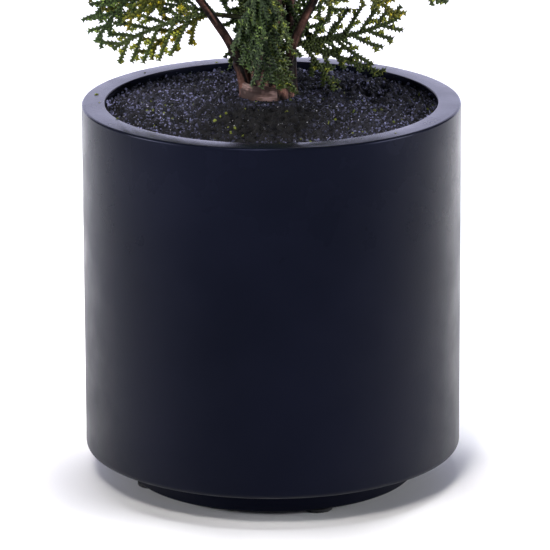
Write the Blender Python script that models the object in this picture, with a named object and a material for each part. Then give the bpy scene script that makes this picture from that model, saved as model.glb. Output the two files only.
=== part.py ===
"""An artificial cedar in a straight round planter.

Metres, +Z up. Z = 0 is the underside of the planter's feet and the planter's axis is x = y = 0.
Azimuths are in degrees from the front (-Y) towards +X. Elevations are in degrees above level.
"""

import math
import random

import bmesh
import bpy
from mathutils import Matrix, Vector
from mathutils.bvhtree import BVHTree

SEED = 11
GAP = 0.0003  # clearance between neighbouring solids
SMOOTH_ANGLE = math.radians(40)
GOLDEN_TURN = 137.5

# Planter: a straight double-walled cylinder on a recessed plinth with short feet
POT_RADIUS = 0.190
POT_BODY_HEIGHT = 0.3575
POT_WALL = 0.0234
POT_FLOOR = 0.025
POT_SIDES = 48
RIM_OUTER_ROUND = 0.0025
RIM_INNER_ROUND = 0.0015
BASE_ROUND = 0.006
PLINTH_RADIUS = 0.1449
PLINTH_HEIGHT = 0.0278
PLINTH_BEVEL = 0.0015
FOOT_COUNT = 4
FOOT_RADIUS = 0.015
FOOT_HEIGHT = 0.004
FOOT_BEVEL = 0.001
FOOT_CIRCLE = 0.130
FOOT_FIRST_AZIMUTH = 20
FOOT_SIDES = 16

BODY_BOTTOM = FOOT_HEIGHT + PLINTH_HEIGHT
RIM_TOP = BODY_BOTTOM + POT_BODY_HEIGHT
INNER_RADIUS = POT_RADIUS - POT_WALL
INNER_FLOOR = BODY_BOTTOM + POT_FLOOR

# Filling: (radius, height above the rim's top) of its surface, from the wall to the flat round the trunk
SOIL_SHAPE = ((INNER_RADIUS - GAP, -0.009), (0.135, -0.004), (0.048, 0.002))
GROUND = RIM_TOP + SOIL_SHAPE[-1][1] + GAP  # the flat cut under the trunk

# Trunk: (height above the ground, radius), and how its centre drifts as it climbs
TRUNK_FOOT = Vector((-0.0045, 0.016, 0))
TRUNK_TOP = Vector((0.000, 0.002, 0))
TRUNK_HEIGHT = 0.930
TRUNK_SHAPE = (
    (0.000, 0.0275), (0.007, 0.0268), (0.014, 0.0255), (0.020, 0.0210), (0.028, 0.0165),
    (0.045, 0.0138), (0.090, 0.0125), (0.300, 0.0105), (0.600, 0.0075), (TRUNK_HEIGHT, 0.0032),
)
TRUNK_FLARE = 0.05
TRUNK_RINGS = 13  # above the flare
TRUNK_SIDES = 12
TRUNK_SWAY = 0.006
TRUNK_SWAY_TURNS = 1.6

# Crown outline: (height above the rim, reach from the axis)
CROWN_SHAPE = (
    (-0.02, 0.185), (0.08, 0.210), (0.18, 0.260), (0.30, 0.272), (0.65, 0.185), (1.00, 0.080), (1.08, 0.050),
)
CROWN_TOP = RIM_TOP + CROWN_SHAPE[-1][0]

# Boughs from the trunk's base. Offsets are from the trunk's centre, at one height above the ground.
LOW_BOUGH_HEIGHT = 0.004
LOW_BOUGHS = {
    "left": dict(offset=(-0.0200, -0.003), azimuth=-91, elevations=(80, 70, 57, 55, 57), length=0.128,
                 radii=(0.0054, 0.0043)),
    "right": dict(offset=(0.0180, -0.004), azimuth=88, elevations=(88, 79, 66, 62, 62), length=0.124,
                  radii=(0.0054, 0.0041)),
    "back_left": dict(offset=(-0.0110, 0.0130), azimuth=-150, elevations=(86, 84, 72, 62), length=0.175,
                      radii=(0.0036, 0.0030)),
    "back_right": dict(offset=(0.0120, 0.0120), azimuth=155, elevations=(87, 83, 70, 58), length=0.190,
                       radii=(0.0036, 0.0028)),
}
BOUGH_SIDES = 6
BOUGH_STEPS = 4

# Boughs from the trunk higher up, a golden turn apart
HIGH_BOUGH_COUNT = 13
HIGH_BOUGH_FIRST = 0.135
HIGH_BOUGH_LAST = 0.870
HIGH_BOUGH_FIRST_AZIMUTH = 12
HIGH_BOUGH_ELEVATIONS = (58, 42)
HIGH_BOUGH_SHARE = 0.42  # of the way out to the crown's outline
HIGH_BOUGH_RADII = (0.0044, 0.0018)
HIGH_BOUGH_TAPER = 0.75

# Foliage wood: three-sided stems, and twigs that branch from them
TWIG_SIDES = 3
STEM_STEPS = 5
STEM_RADII = (0.0034, 0.0021)
TWIG_RADII = (0.0026, 0.0018)
TWIG_FIRST, TWIG_LAST = 0.15, 0.80  # shares of the stem where its twigs leave
TWIG_SPREAD = 52
TWIG_DROOP = 0.25

# Sprays: toothed blades that stand for a rib with side branches of scale leaves
SPRAY_LOBES = 3  # on each side
SPRAY_THICKNESS = 0.0032
SPRAY_ROOT = 0.004  # from the blade's point, inside its twig, to its full thickness
SPRAY_SUNK = 0.008  # how far a spray at a twig's tip starts inside it
SPRAY_REACH_SHARE = 0.42
SPRAY_LENGTHS = (0.175, 0.160, 0.145, 0.130, 0.115, 0.100, 0.085, 0.070)
SPRAY_SPREAD = (42, 62)
SPRAY_TILT = 65
SPRAY_DROOP = (0.25, 0.6)
LOBE_ANGLE = math.radians(50)
LOBE_SHAPE = ((0.0, 0.70), (0.3, 1.0), (1.0, 0.35))  # (share of the rib, share of the longest lobe)
LEFT_LOBE = (0.3, 0.85)  # of the spacing: where the lobe's foot is, and the notch after it
RIGHT_LOBE = (0.7, 1.05)
NOTCH_SHARE = 0.12

# Room for new growth
TRIES = 9
TRY_TURN = 22
TRIAL_GROWTH = 0.001
SPACE_MARGIN = 0.003
SAG = 0.12

# Foliage masses. A posed spray is (share of the stem, azimuth, elevation, tilt, length, lobe reach, droop).
LOW_MASSES = {  # on the boughs from the base
    "left": dict(azimuth=-93, elevations=(60, 62, 45), length=0.19, stem_sprays=7, roll=20, posed=(
        (0.30, -97, -30, 80, 0.115, 0.036, 0.4), (0.04, -80, -38, 70, 0.060, 0.022, 0.2),
        (0.12, -83, -24, 78, 0.125, 0.034, 0.8))),
    "right": dict(azimuth=92, elevations=(62, 60, 45), length=0.19, stem_sprays=7, roll=70, posed=(
        (0.03, 88, -20, 75, 0.090, 0.026, 0.3), (0.28, 95, -30, 80, 0.125, 0.030, 0.45))),
    "back_left": dict(azimuth=-150, elevations=(55, 40, 20), length=0.15, stem_sprays=6, roll=120),
    "back_right": dict(azimuth=155, elevations=(50, 35, 15), length=0.14, stem_sprays=6, roll=200),
}
SKIRT_MASSES = {  # on the trunk itself, at heights above the ground
    "low_left": dict(height=0.076, azimuth=-101, elevations=(6, 4), length=0.064, stem_sprays=0, twigs=0,
                     posed=((1.0, -90, -7, 90, 0.110, 0.050, 0.5), (0.8, -112, 12, 60, 0.085, 0.034, 0.3))),
    "low_right": dict(height=0.040, azimuth=106, elevations=(24, 8), length=0.038, stem_sprays=0, twigs=0,
                      posed=((1.0, 91, 2, 90, 0.112, 0.044, -0.35), (0.8, 118, 10, 50, 0.075, 0.030, 0.2))),
    "low_front": dict(height=0.130, azimuth=-8, elevations=(25, -60), length=0.046, stem_sprays=0, twigs=0,
                      posed=((1.0, -12, -82, 0, 0.100, 0.036, 0.1), (0.7, 62, -66, 10, 0.090, 0.026, 0.2),
                             (0.75, -66, -62, -10, 0.085, 0.026, 0.2), (0.9, 40, -84, 25, 0.105, 0.030, 0.1),
                             (0.5, -50, -74, -30, 0.095, 0.030, 0.1))),
    "low_back": dict(height=0.100, azimuth=178, elevations=(18, 6), length=0.070, stem_sprays=5, twigs=1,
                     longest=0.13),
}
HIGH_MASS_ELEVATIONS = (42, 25, 5)
HIGH_MASS_SHARE = 0.34
HIGH_TWIG_SHARE = 0.30
HIGH_FULL_COUNT = 9  # the masses that have all their twigs
HIGH_LONG_COUNT = 6  # the masses that have the longest sprays
TOP_MASS = dict(azimuth=0, elevations=(90, 90), length=0.045, stem_sprays=5, twigs=2, twig_sprays=2,
                twig_length=0.03, longest=0.100)


# ---------------------------------------------------------------- geometry


def heading(azimuth, elevation):
    """Unit vector along an azimuth and elevation."""
    turn, rise = math.radians(azimuth), math.radians(elevation)
    return Vector((math.sin(turn) * math.cos(rise), -math.cos(turn) * math.cos(rise), math.sin(rise)))


def between(table, position):
    """Value at a position in a table of (position, value) rows."""
    for (low, first), (high, second) in zip(table, table[1:]):
        if position <= high:
            return first + (second - first) * max(0.0, position - low) / (high - low)
    return table[-1][1]


def crown_radius(z):
    return between(CROWN_SHAPE, z - RIM_TOP)


def path(start, azimuth, elevations, length, steps):
    """Points of a limb whose slope passes evenly through its elevations."""
    points = [start.copy()]
    for step in range(steps):
        along = (step + 0.5) / steps * (len(elevations) - 1)
        first = min(int(along), len(elevations) - 2)
        slope = elevations[first] + (elevations[first + 1] - elevations[first]) * (along - first)
        points.append(points[-1] + heading(azimuth, slope) * length / steps)
    return points


def point_on(points, share):
    """Place and direction a share of the way along a path."""
    along = min(max(share, 0), 0.9999) * (len(points) - 1)
    first = int(along)
    ahead = (points[first + 1] - points[first]).normalized()
    return points[first].lerp(points[first + 1], along - first), ahead


def arc(radius, z, rounding, start, end, steps):
    """Points of a rounded edge of a turned profile, angles in degrees."""
    angles = [math.radians(start + (end - start) * step / steps) for step in range(steps + 1)]
    return [(radius + rounding * math.cos(angle), z + rounding * math.sin(angle)) for angle in angles]


def rings_to_solid(rings):
    """Vertices and faces of a closed solid from rings of points, each end closed by its own face."""
    sides = len(rings[0])
    vertices = [point for ring in rings for point in ring]
    faces = []
    for first in range(0, len(vertices) - sides, sides):
        for side in range(sides):
            a, b = first + side, first + (side + 1) % sides
            faces.append((a, b, b + sides, a + sides))
    faces.append(tuple(reversed(range(sides))))
    faces.append(tuple(range(len(vertices) - sides, len(vertices))))
    return vertices, faces


def turned(profile, sides):
    """A solid of revolution. Its (radius, z) profile ends on the axis at both ends, which are level."""
    turns = [2 * math.pi * side / sides for side in range(sides)]
    return rings_to_solid([[Vector((radius * math.cos(turn), radius * math.sin(turn), z)) for turn in turns]
                           for radius, z in profile])


def tube(points, radii, sides, first=None):
    """A tapering tube with flat ends. Its first end may be set square to a given direction."""
    ahead = first or (points[1] - points[0]).normalized()
    side = ahead.orthogonal().normalized()
    rings = []
    for index, point in enumerate(points):
        before, after = points[max(index - 1, 0)], points[min(index + 1, len(points) - 1)]
        next_ahead = first if first and index == 0 else (after - before).normalized()
        side = ahead.rotation_difference(next_ahead) @ side
        ahead = next_ahead
        radius = radii[0] + (radii[1] - radii[0]) * index / (len(points) - 1)
        turns = [Matrix.Rotation(2 * math.pi * corner / sides, 3, ahead) for corner in range(sides)]
        rings.append([point + turn @ side * radius for turn in turns])
    return rings_to_solid(rings)


# ---------------------------------------------------------------- objects


def clear_scene():
    for thing in list(bpy.data.objects):
        bpy.data.objects.remove(thing)


def material(name, colour, roughness):
    made = bpy.data.materials.new(name)
    made.use_nodes = True
    shader = made.node_tree.nodes["Principled BSDF"]
    shader.inputs["Base Color"].default_value = (*colour, 1)
    shader.inputs["Roughness"].default_value = roughness
    return made


def add_object(name, shape, finish, smooth=True):
    """One object from (vertices, faces)."""
    mesh = bpy.data.meshes.new(name)
    mesh.from_pydata([tuple(vertex) for vertex in shape[0]], [], shape[1])
    if smooth:
        mesh.shade_smooth()
        mesh.set_sharp_from_angle(angle=SMOOTH_ANGLE)
    mesh.materials.append(finish)
    made = bpy.data.objects.new(name, mesh)
    bpy.context.scene.collection.objects.link(made)
    return made


def apply_modifiers(target):
    graph = bpy.context.evaluated_depsgraph_get()
    solid = bpy.data.meshes.new_from_object(target.evaluated_get(graph))
    target.modifiers.clear()
    target.data = solid


def cut_clear(target, cutter):
    """Cuts a solid that starts inside the trunk back to a small gap from it."""
    cut = target.modifiers.new("clear of trunk", "BOOLEAN")
    cut.operation = "DIFFERENCE"
    cut.object = cutter
    apply_modifiers(target)


def keep_one_body(target):
    """Drops each loose scrap and fills each sealed hollow, by keeping only the largest shell."""
    sheet = bmesh.new()
    sheet.from_mesh(target.data)
    unseen = set(sheet.verts)
    shells = []
    while unseen:
        waiting, shell = [unseen.pop()], []
        while waiting:
            vertex = waiting.pop()
            shell.append(vertex)
            joined = {edge.other_vert(vertex) for edge in vertex.link_edges} & unseen
            unseen -= joined
            waiting += joined
        shells.append(shell)
    shells.sort(key=len)
    for shell in shells[:-1]:
        bmesh.ops.delete(sheet, geom=shell, context="VERTS")
    sheet.to_mesh(target.data)
    sheet.free()


def fuse(name, shapes, finish):
    """Joins a mass's closed shapes into one solid by one Boolean union."""
    helpers = bpy.data.collections.new(name + "_pieces")
    bpy.context.scene.collection.children.link(helpers)
    for number, shape in enumerate(shapes[1:]):
        piece = add_object(f"{name}_piece_{number}", shape, finish, smooth=False)
        bpy.context.scene.collection.objects.unlink(piece)
        helpers.objects.link(piece)
    mass = add_object(name, shapes[0], finish, smooth=False)
    union = mass.modifiers.new("one body", "BOOLEAN")
    union.operation = "UNION"
    union.operand_type = "COLLECTION"
    union.collection = helpers
    apply_modifiers(mass)
    for piece in list(helpers.objects):
        bpy.data.objects.remove(piece)
    bpy.data.collections.remove(helpers)
    keep_one_body(mass)
    return mass


# ---------------------------------------------------------------- planter and filling


def pot_shape():
    profile = [(0, FOOT_HEIGHT), (PLINTH_RADIUS - PLINTH_BEVEL, FOOT_HEIGHT)]
    profile += [(PLINTH_RADIUS, FOOT_HEIGHT + PLINTH_BEVEL), (PLINTH_RADIUS, BODY_BOTTOM)]
    profile += arc(POT_RADIUS - BASE_ROUND, BODY_BOTTOM + BASE_ROUND, BASE_ROUND, -90, 0, 3)
    profile += arc(POT_RADIUS - RIM_OUTER_ROUND, RIM_TOP - RIM_OUTER_ROUND, RIM_OUTER_ROUND, 0, 90, 3)
    profile += arc(INNER_RADIUS + RIM_INNER_ROUND, RIM_TOP - RIM_INNER_ROUND, RIM_INNER_ROUND, 90, 180, 2)
    profile += [(INNER_RADIUS, INNER_FLOOR), (0, INNER_FLOOR)]
    return turned(profile[1:-1], POT_SIDES)


def soil_shape():
    floor = INNER_FLOOR + GAP
    return turned([(SOIL_SHAPE[0][0], floor)] + [(radius, RIM_TOP + height) for radius, height in SOIL_SHAPE],
                  POT_SIDES)


def foot_shape():
    top = FOOT_HEIGHT - GAP
    return turned([(FOOT_RADIUS - FOOT_BEVEL, 0), (FOOT_RADIUS, FOOT_BEVEL), (FOOT_RADIUS, top)], FOOT_SIDES)


def make_feet(finish):
    for number in range(FOOT_COUNT):
        foot = add_object(f"foot_{number + 1}", foot_shape(), finish)
        foot.location = heading(FOOT_FIRST_AZIMUTH + number * 360 / FOOT_COUNT, 0) * FOOT_CIRCLE


# ---------------------------------------------------------------- trunk and boughs


def trunk_centre(height):
    """Centre of the trunk at a height above the ground."""
    climb = height / TRUNK_HEIGHT
    turn = climb * TRUNK_SWAY_TURNS * 2 * math.pi
    sway = Vector((math.sin(turn), 1 - math.cos(turn), 0)) * TRUNK_SWAY * (1 - climb) * min(1, climb * 4)
    centre = TRUNK_FOOT.lerp(TRUNK_TOP, climb) + sway
    return Vector((centre.x, centre.y, GROUND + height))


def trunk_shape(extra=0.0):
    """The trunk with level rings, grown outwards by a clearance."""
    heights = [height for height, _ in TRUNK_SHAPE if height < TRUNK_FLARE]
    rest = TRUNK_HEIGHT - heights[-1]
    heights += [heights[-1] + rest * ring / TRUNK_RINGS for ring in range(1, TRUNK_RINGS + 1)]
    points = [trunk_centre(height) for height in heights]
    points[0].z -= extra
    points[-1].z += extra
    rings = []
    for point, height in zip(points, heights):
        radius = between(TRUNK_SHAPE, height) + extra
        turns = [360 * side / TRUNK_SIDES for side in range(TRUNK_SIDES)]
        rings.append([point + heading(90 + turn, 0) * radius for turn in turns])
    return rings_to_solid(rings)


def bough_rows():
    """Path and end radii of each bough, by name."""
    rows = {}
    for name, row in LOW_BOUGHS.items():
        start = trunk_centre(LOW_BOUGH_HEIGHT) + Vector((*row["offset"], 0))
        points = path(start, row["azimuth"], row["elevations"], row["length"], 2 * BOUGH_STEPS)
        rows["bough_low_" + name] = (points, row["radii"])
    for number in range(HIGH_BOUGH_COUNT):
        share = number / (HIGH_BOUGH_COUNT - 1)
        start = trunk_centre(HIGH_BOUGH_FIRST + (HIGH_BOUGH_LAST - HIGH_BOUGH_FIRST) * share)
        azimuth = HIGH_BOUGH_FIRST_AZIMUTH + number * GOLDEN_TURN
        length = crown_radius(start.z) * HIGH_BOUGH_SHARE
        thick = HIGH_BOUGH_RADII[0] + (HIGH_BOUGH_RADII[1] - HIGH_BOUGH_RADII[0]) * share
        points = path(start, azimuth, HIGH_BOUGH_ELEVATIONS, length, BOUGH_STEPS)
        rows[f"bough_high_{number + 1:02d}"] = (points, (thick, thick * HIGH_BOUGH_TAPER))
    return rows


# ---------------------------------------------------------------- foliage


def spray(root, ahead, side, length, reach, droop, grow=0.0):
    """A toothed blade: a ridged rib with alternate pointed lobes, which bends down as it goes."""
    spacing = (length - SPRAY_ROOT) / SPRAY_LOBES
    ribs, aheads = [root + ahead * SPRAY_ROOT], [ahead]
    for _ in range(SPRAY_LOBES):
        aheads.append((aheads[-1] + Vector((0, 0, -droop / SPRAY_LOBES))).normalized())
        ribs.append(ribs[-1] + aheads[-1] * spacing)
    vertices = [root - ahead * grow, ribs[-1] + aheads[-1] * grow]
    base, end = 0, 1
    across = []
    for number in range(SPRAY_LOBES):
        across.append((side - aheads[number] * side.dot(aheads[number])).normalized())
        up = aheads[number].cross(across[number])
        half = SPRAY_THICKNESS / 2 * (1 - 0.4 * number / SPRAY_LOBES) + grow
        vertices += [ribs[number] + up * half, ribs[number] - up * half]
    tops = range(2, 2 + 2 * SPRAY_LOBES, 2)
    bottoms = range(3, 3 + 2 * SPRAY_LOBES, 2)
    faces = []
    for hand, (foot_at, notch_at) in ((1, LEFT_LOBE), (-1, RIGHT_LOBE)):
        notch = base
        for number in range(SPRAY_LOBES):
            out = across[number] * hand
            rib = ribs[number + 1] - ribs[number]
            longest = reach * between(LOBE_SHAPE, (number + foot_at) / SPRAY_LOBES) + grow
            way = aheads[number] * math.cos(LOBE_ANGLE) + out * math.sin(LOBE_ANGLE)
            tip, last_notch, notch = len(vertices), notch, end
            vertices.append(ribs[number] + rib * foot_at + way * longest)
            if number + 1 < SPRAY_LOBES:
                notch = len(vertices)
                vertices.append(ribs[number] + rib * notch_at + out * (reach * NOTCH_SHARE + grow))
            for ridge, turned_over in ((tops, hand < 0), (bottoms, hand > 0)):
                corners = [(ridge[number], last_notch, tip), (ridge[number], tip, notch)]
                if number + 1 < SPRAY_LOBES:
                    corners.append((ridge[number], notch, ridge[number + 1]))
                faces += [corner if turned_over else corner[::-1] for corner in corners]
    return vertices, faces


def mass_row(name, start, azimuth, elevations, length, **more):
    """One mass before it grows: its stem and how many twigs and sprays it is to have."""
    points = path(start, azimuth, elevations, length, STEM_STEPS)
    row = dict(name="foliage_" + name, points=points, first=None, at_trunk=False, posed=(), stem_sprays=5,
               twigs=3, twig_sprays=3, twig_length=0.075, longest=SPRAY_LENGTHS[0], roll=0)
    row.update(more)
    return row


def mass_rows(boughs):
    """Every mass: one on each bough's tip, the skirt on the trunk, and the top."""
    rows = []
    for name, more in LOW_MASSES.items():
        points, _ = boughs["bough_low_" + name]
        tip, ahead = points[-1], (points[-1] - points[-2]).normalized()
        rows.append(mass_row(name, tip + ahead * GAP, first=ahead, **more))
    for number in range(HIGH_BOUGH_COUNT):
        points, _ = boughs[f"bough_high_{number + 1:02d}"]
        tip, ahead = points[-1], (points[-1] - points[-2]).normalized()
        out = crown_radius(tip.z)
        rows.append(mass_row(f"{number + 1:02d}", tip + ahead * GAP,
                             HIGH_BOUGH_FIRST_AZIMUTH + number * GOLDEN_TURN, HIGH_MASS_ELEVATIONS,
                             out * HIGH_MASS_SHARE, first=ahead, roll=number * 50,
                             twigs=3 if number < HIGH_FULL_COUNT else 2, twig_length=out * HIGH_TWIG_SHARE,
                             longest=SPRAY_LENGTHS[0 if number < HIGH_LONG_COUNT else 3]))
    for name, more in SKIRT_MASSES.items():
        more = dict(more)
        rows.append(mass_row(name, trunk_centre(more.pop("height")), at_trunk=True, **more))
    rows.append(mass_row("top", trunk_centre(TRUNK_HEIGHT) + Vector((0, 0, GAP)), **TOP_MASS))
    return rows


class Crown:
    """The masses of foliage, and every solid that a new twig or spray must keep clear of."""

    def __init__(self, masses):
        self.masses = masses
        self.solids = []
        self.axes = []
        for row in masses:
            axis = [point_on(row["points"], share / 6)[0] for share in range(1, 7)]
            ahead = point_on(row["points"], 1)[1]
            self.axes.append(axis + [axis[-1] + ahead * further for further in (0.03, 0.06, 0.09)])

    def ball_and_tree(self, shape):
        centre = sum(shape[0], Vector()) / len(shape[0])
        return centre, max((vertex - centre).length for vertex in shape[0]), BVHTree.FromPolygons(*shape)

    def add(self, shape, owner):
        self.solids.append((*self.ball_and_tree(shape), owner))

    def touches(self, shape, spared):
        """Whether a shape crosses any solid, apart from those of the spared owners."""
        centre, radius, tree = self.ball_and_tree(shape)
        for other_centre, other_radius, other_tree, owner in self.solids:
            if owner not in spared and (centre - other_centre).length < radius + other_radius:
                if tree.overlap(other_tree):
                    return True
        return False

    def in_own_space(self, points, mine):
        """Whether each point is inside the crown and nearer to its own mass's axis than to any other."""
        for point in points:
            if math.hypot(point.x, point.y) > crown_radius(point.z) or point.z > CROWN_TOP:
                return False
            nearest = [min((point - place).length for place in axis) for axis in self.axes]
            own = nearest.pop(mine)
            if min(nearest) < own + SPACE_MARGIN:
                return False
        return True

    def fits(self, shape, mine, spared):
        return self.in_own_space(shape[0][1:], mine) and not self.touches(shape, spared)


def ways_out(ahead, out, spread):
    """Directions that lean out from a limb, turning a little further to either side each time."""
    lean = math.radians(spread)
    for attempt in range(TRIES):
        turn = (attempt + 1) // 2 * (TRY_TURN if attempt % 2 else -TRY_TURN)
        aside = Matrix.Rotation(math.radians(turn), 3, ahead) @ out
        yield (ahead * math.cos(lean) + aside * math.sin(lean) - Vector((0, 0, SAG))).normalized()


def tilted_side(ahead, tilt):
    """The direction across a spray, level when its tilt is 0."""
    return Matrix.Rotation(math.radians(tilt), 3, ahead) @ ahead.cross(Vector((0, 0, 1))).normalized()


def grow_posed_spray(crown, mine, row):
    """A spray whose direction and size are given. It may cross others of its own mass."""
    share, azimuth, elevation, tilt, length, reach, droop = row
    ahead = heading(azimuth, elevation)
    root = point_on(crown.masses[mine]["points"], share)[0] - ahead * SPRAY_SUNK
    size = (root, ahead, tilted_side(ahead, tilt), length, reach, droop)
    if crown.touches(spray(*size, grow=TRIAL_GROWTH), spared=(("wood", mine), ("spray", mine))):
        return []
    crown.add(spray(*size), ("spray", mine))
    return [spray(*size)]


def grow_spray(crown, mine, place, ways, tilt, droop):
    """The longest spray that fits, along the first way that has room."""
    for ahead in ways:
        for length in SPRAY_LENGTHS:
            if length > crown.masses[mine]["longest"]:
                continue
            size = (place, ahead, tilted_side(ahead, tilt), length, length * SPRAY_REACH_SHARE, droop)
            if crown.fits(spray(*size, grow=TRIAL_GROWTH), mine, spared=(("wood", mine),)):
                crown.add(spray(*size), ("spray", mine))
                return [spray(*size)]
    return []


def grow_sprays(crown, mine, points, count, turn, dice):
    """Sprays along a stem or twig: one at its tip, then one after another back down it."""
    shapes = []
    roll = dice.uniform(0, 360)
    for number in range(count):
        place, ahead = point_on(points, 1 - number / (count + 0.4))
        out = Matrix.Rotation(math.radians(roll + number * turn), 3, ahead) @ ahead.orthogonal().normalized()
        spread = dice.uniform(*SPRAY_SPREAD) if number else 0
        sunk = 0 if number else SPRAY_SUNK
        tilt, droop = dice.uniform(-SPRAY_TILT, SPRAY_TILT), dice.uniform(*SPRAY_DROOP)
        shapes += grow_spray(crown, mine, place - ahead * sunk, ways_out(ahead, out, spread), tilt, droop)
    return shapes


def grow_twig(crown, mine, share, roll):
    """A twig from the stem, as its path and its shape, or nothing where there is no room."""
    row = crown.masses[mine]
    place, ahead = point_on(row["points"], share)
    out = Matrix.Rotation(math.radians(roll), 3, ahead) @ ahead.orthogonal().normalized()
    half = row["twig_length"] * (1.1 - 0.5 * share) / 2
    for way in ways_out(ahead, out, TWIG_SPREAD):
        bent = (way - Vector((0, 0, TWIG_DROOP))).normalized()
        points = [place, place + way * half, place + (way + bent) * half]
        trial = tube(points, [radius + TRIAL_GROWTH for radius in TWIG_RADII], TWIG_SIDES)
        if crown.fits(trial, mine, spared=(("wood", mine),)):
            twig = tube(points, TWIG_RADII, TWIG_SIDES)
            crown.add(twig, ("wood", mine))
            return points, [twig]
    return None, []


def grow_mass(crown, mine, dice):
    """Shapes of one mass: its stem, the twigs that branch from it, and the sprays on all of them."""
    row = crown.masses[mine]
    shapes = [tube(row["points"], STEM_RADII, TWIG_SIDES, row["first"])]
    crown.add(shapes[0], ("wood", mine))
    for posed in row["posed"]:
        shapes += grow_posed_spray(crown, mine, posed)
    wood = [(row["points"], row["stem_sprays"], GOLDEN_TURN)]
    for number in range(row["twigs"]):
        share = TWIG_FIRST + (TWIG_LAST - TWIG_FIRST) * number / max(row["twigs"] - 1, 1)
        points, twig = grow_twig(crown, mine, share, row["roll"] + number * GOLDEN_TURN)
        shapes += twig
        if twig:
            wood.append((points, row["twig_sprays"], 180))
    for points, count, turn in wood:
        shapes += grow_sprays(crown, mine, points, count, turn, dice)
    return shapes


# ---------------------------------------------------------------- the whole plant


def build():
    clear_scene()
    dice = random.Random(SEED)
    plastic = material("moulded planter plastic", (0.012, 0.014, 0.026), 0.38)
    rubber = material("black rubber", (0.010, 0.010, 0.012), 0.70)
    grit = material("black filling", (0.010, 0.010, 0.012), 0.95)
    bark = material("moulded bark", (0.085, 0.045, 0.034), 0.75)
    leaf = material("moulded cedar spray", (0.040, 0.075, 0.018), 0.60)

    add_object("pot", pot_shape(), plastic)
    add_object("soil", soil_shape(), grit)
    make_feet(rubber)
    add_object("trunk", trunk_shape(), bark)
    cutter = add_object("trunk_cutter", trunk_shape(GAP), bark)
    cutter.hide_render = True
    cutter.display_type = "WIRE"

    boughs = bough_rows()
    crown = Crown(mass_rows(boughs))
    for shape in (pot_shape(), soil_shape(), trunk_shape()):
        crown.add(shape, "limb")
    for name, (points, radii) in boughs.items():
        shape = tube(points, radii, BOUGH_SIDES)
        crown.add(shape, "limb")
        cut_clear(add_object(name, shape, bark), cutter)

    posed_first = sorted(range(len(crown.masses)), key=lambda index: not crown.masses[index]["posed"])
    for index in posed_first:
        row = crown.masses[index]
        mass = fuse(row["name"], grow_mass(crown, index, dice), leaf)
        if row["at_trunk"]:
            cut_clear(mass, cutter)
        print(row["name"], sum(len(polygon.vertices) - 2 for polygon in mass.data.polygons), "triangles")


build()
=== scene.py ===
import math
import random

import bmesh
import bpy
import numpy as np
from mathutils import Matrix, Vector
from mathutils.bvhtree import BVHTree


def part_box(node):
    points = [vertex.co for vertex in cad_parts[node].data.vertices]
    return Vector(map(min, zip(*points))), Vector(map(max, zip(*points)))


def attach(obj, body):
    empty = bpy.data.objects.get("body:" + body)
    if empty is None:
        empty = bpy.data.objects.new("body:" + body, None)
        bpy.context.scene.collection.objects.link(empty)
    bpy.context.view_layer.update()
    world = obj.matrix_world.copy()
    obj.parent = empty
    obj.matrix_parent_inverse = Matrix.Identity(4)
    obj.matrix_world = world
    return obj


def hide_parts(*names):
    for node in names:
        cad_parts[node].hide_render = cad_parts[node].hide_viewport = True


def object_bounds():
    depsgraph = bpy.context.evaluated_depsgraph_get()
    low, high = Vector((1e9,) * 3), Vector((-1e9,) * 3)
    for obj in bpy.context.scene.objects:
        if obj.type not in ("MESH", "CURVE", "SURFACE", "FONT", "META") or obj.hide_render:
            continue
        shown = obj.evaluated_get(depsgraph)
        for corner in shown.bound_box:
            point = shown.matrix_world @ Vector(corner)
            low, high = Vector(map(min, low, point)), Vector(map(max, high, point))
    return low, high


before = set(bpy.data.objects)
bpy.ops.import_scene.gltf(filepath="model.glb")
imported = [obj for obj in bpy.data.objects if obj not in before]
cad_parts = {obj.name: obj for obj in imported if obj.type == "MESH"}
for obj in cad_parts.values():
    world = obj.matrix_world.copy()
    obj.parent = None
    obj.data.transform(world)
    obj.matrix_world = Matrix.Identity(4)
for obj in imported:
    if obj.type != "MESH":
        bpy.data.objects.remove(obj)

# An artificial cedar in a straight round planter: its looks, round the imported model.
# Azimuths are in degrees from the front (-Y) towards +X, elevations in degrees above level, sizes in metres.

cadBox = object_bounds()
foliageNodes = sorted(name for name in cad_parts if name.startswith("foliage"))
boughNodes = sorted(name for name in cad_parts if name.startswith("bough"))
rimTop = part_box("pot")[1].z
clearance = 0.0003
goldenTurn = 137.5
sharpEdge = 40  # degrees above which a smooth piece keeps its edge


# small tools

def linear(hexColour):  # sRGB hex to the linear values that shaders take
    values = [int(hexColour[place:place + 2], 16) / 255 for place in (1, 3, 5)]
    return tuple(v / 12.92 if v <= 0.04045 else ((v + 0.055) / 1.055) ** 2.4 for v in values)


def addNode(tree, kind, links=None, out=0, **settings):
    # gives the new node's output of that name or number, or all of its outputs where out is None
    node = tree.nodes.new(kind)
    for name, value in settings.items():
        setattr(node, name, value)
    for socket, source in (links or {}).items():
        if isinstance(source, bpy.types.NodeSocket):
            tree.links.new(source, node.inputs[socket])
        else:
            node.inputs[socket].default_value = source
    return node.outputs[out] if node.outputs and out is not None else node.outputs


def startMaterial(name, **values):
    made = bpy.data.materials.new(name)
    made.use_nodes = True
    tree = made.node_tree
    shader = tree.nodes["Principled BSDF"]
    for socket, value in values.items():
        shader.inputs[socket.replace("_", " ")].default_value = value
    place = addNode(tree, "ShaderNodeTexCoord", out="Object")
    return made, tree, shader, place


def mixColours(tree, factor, first, second):
    pair = [(*linear(colour), 1) if isinstance(colour, str) else colour for colour in (first, second)]
    return addNode(tree, "ShaderNodeMix", {6: pair[0], 7: pair[1], 0: factor}, out=2, data_type="RGBA")


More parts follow.
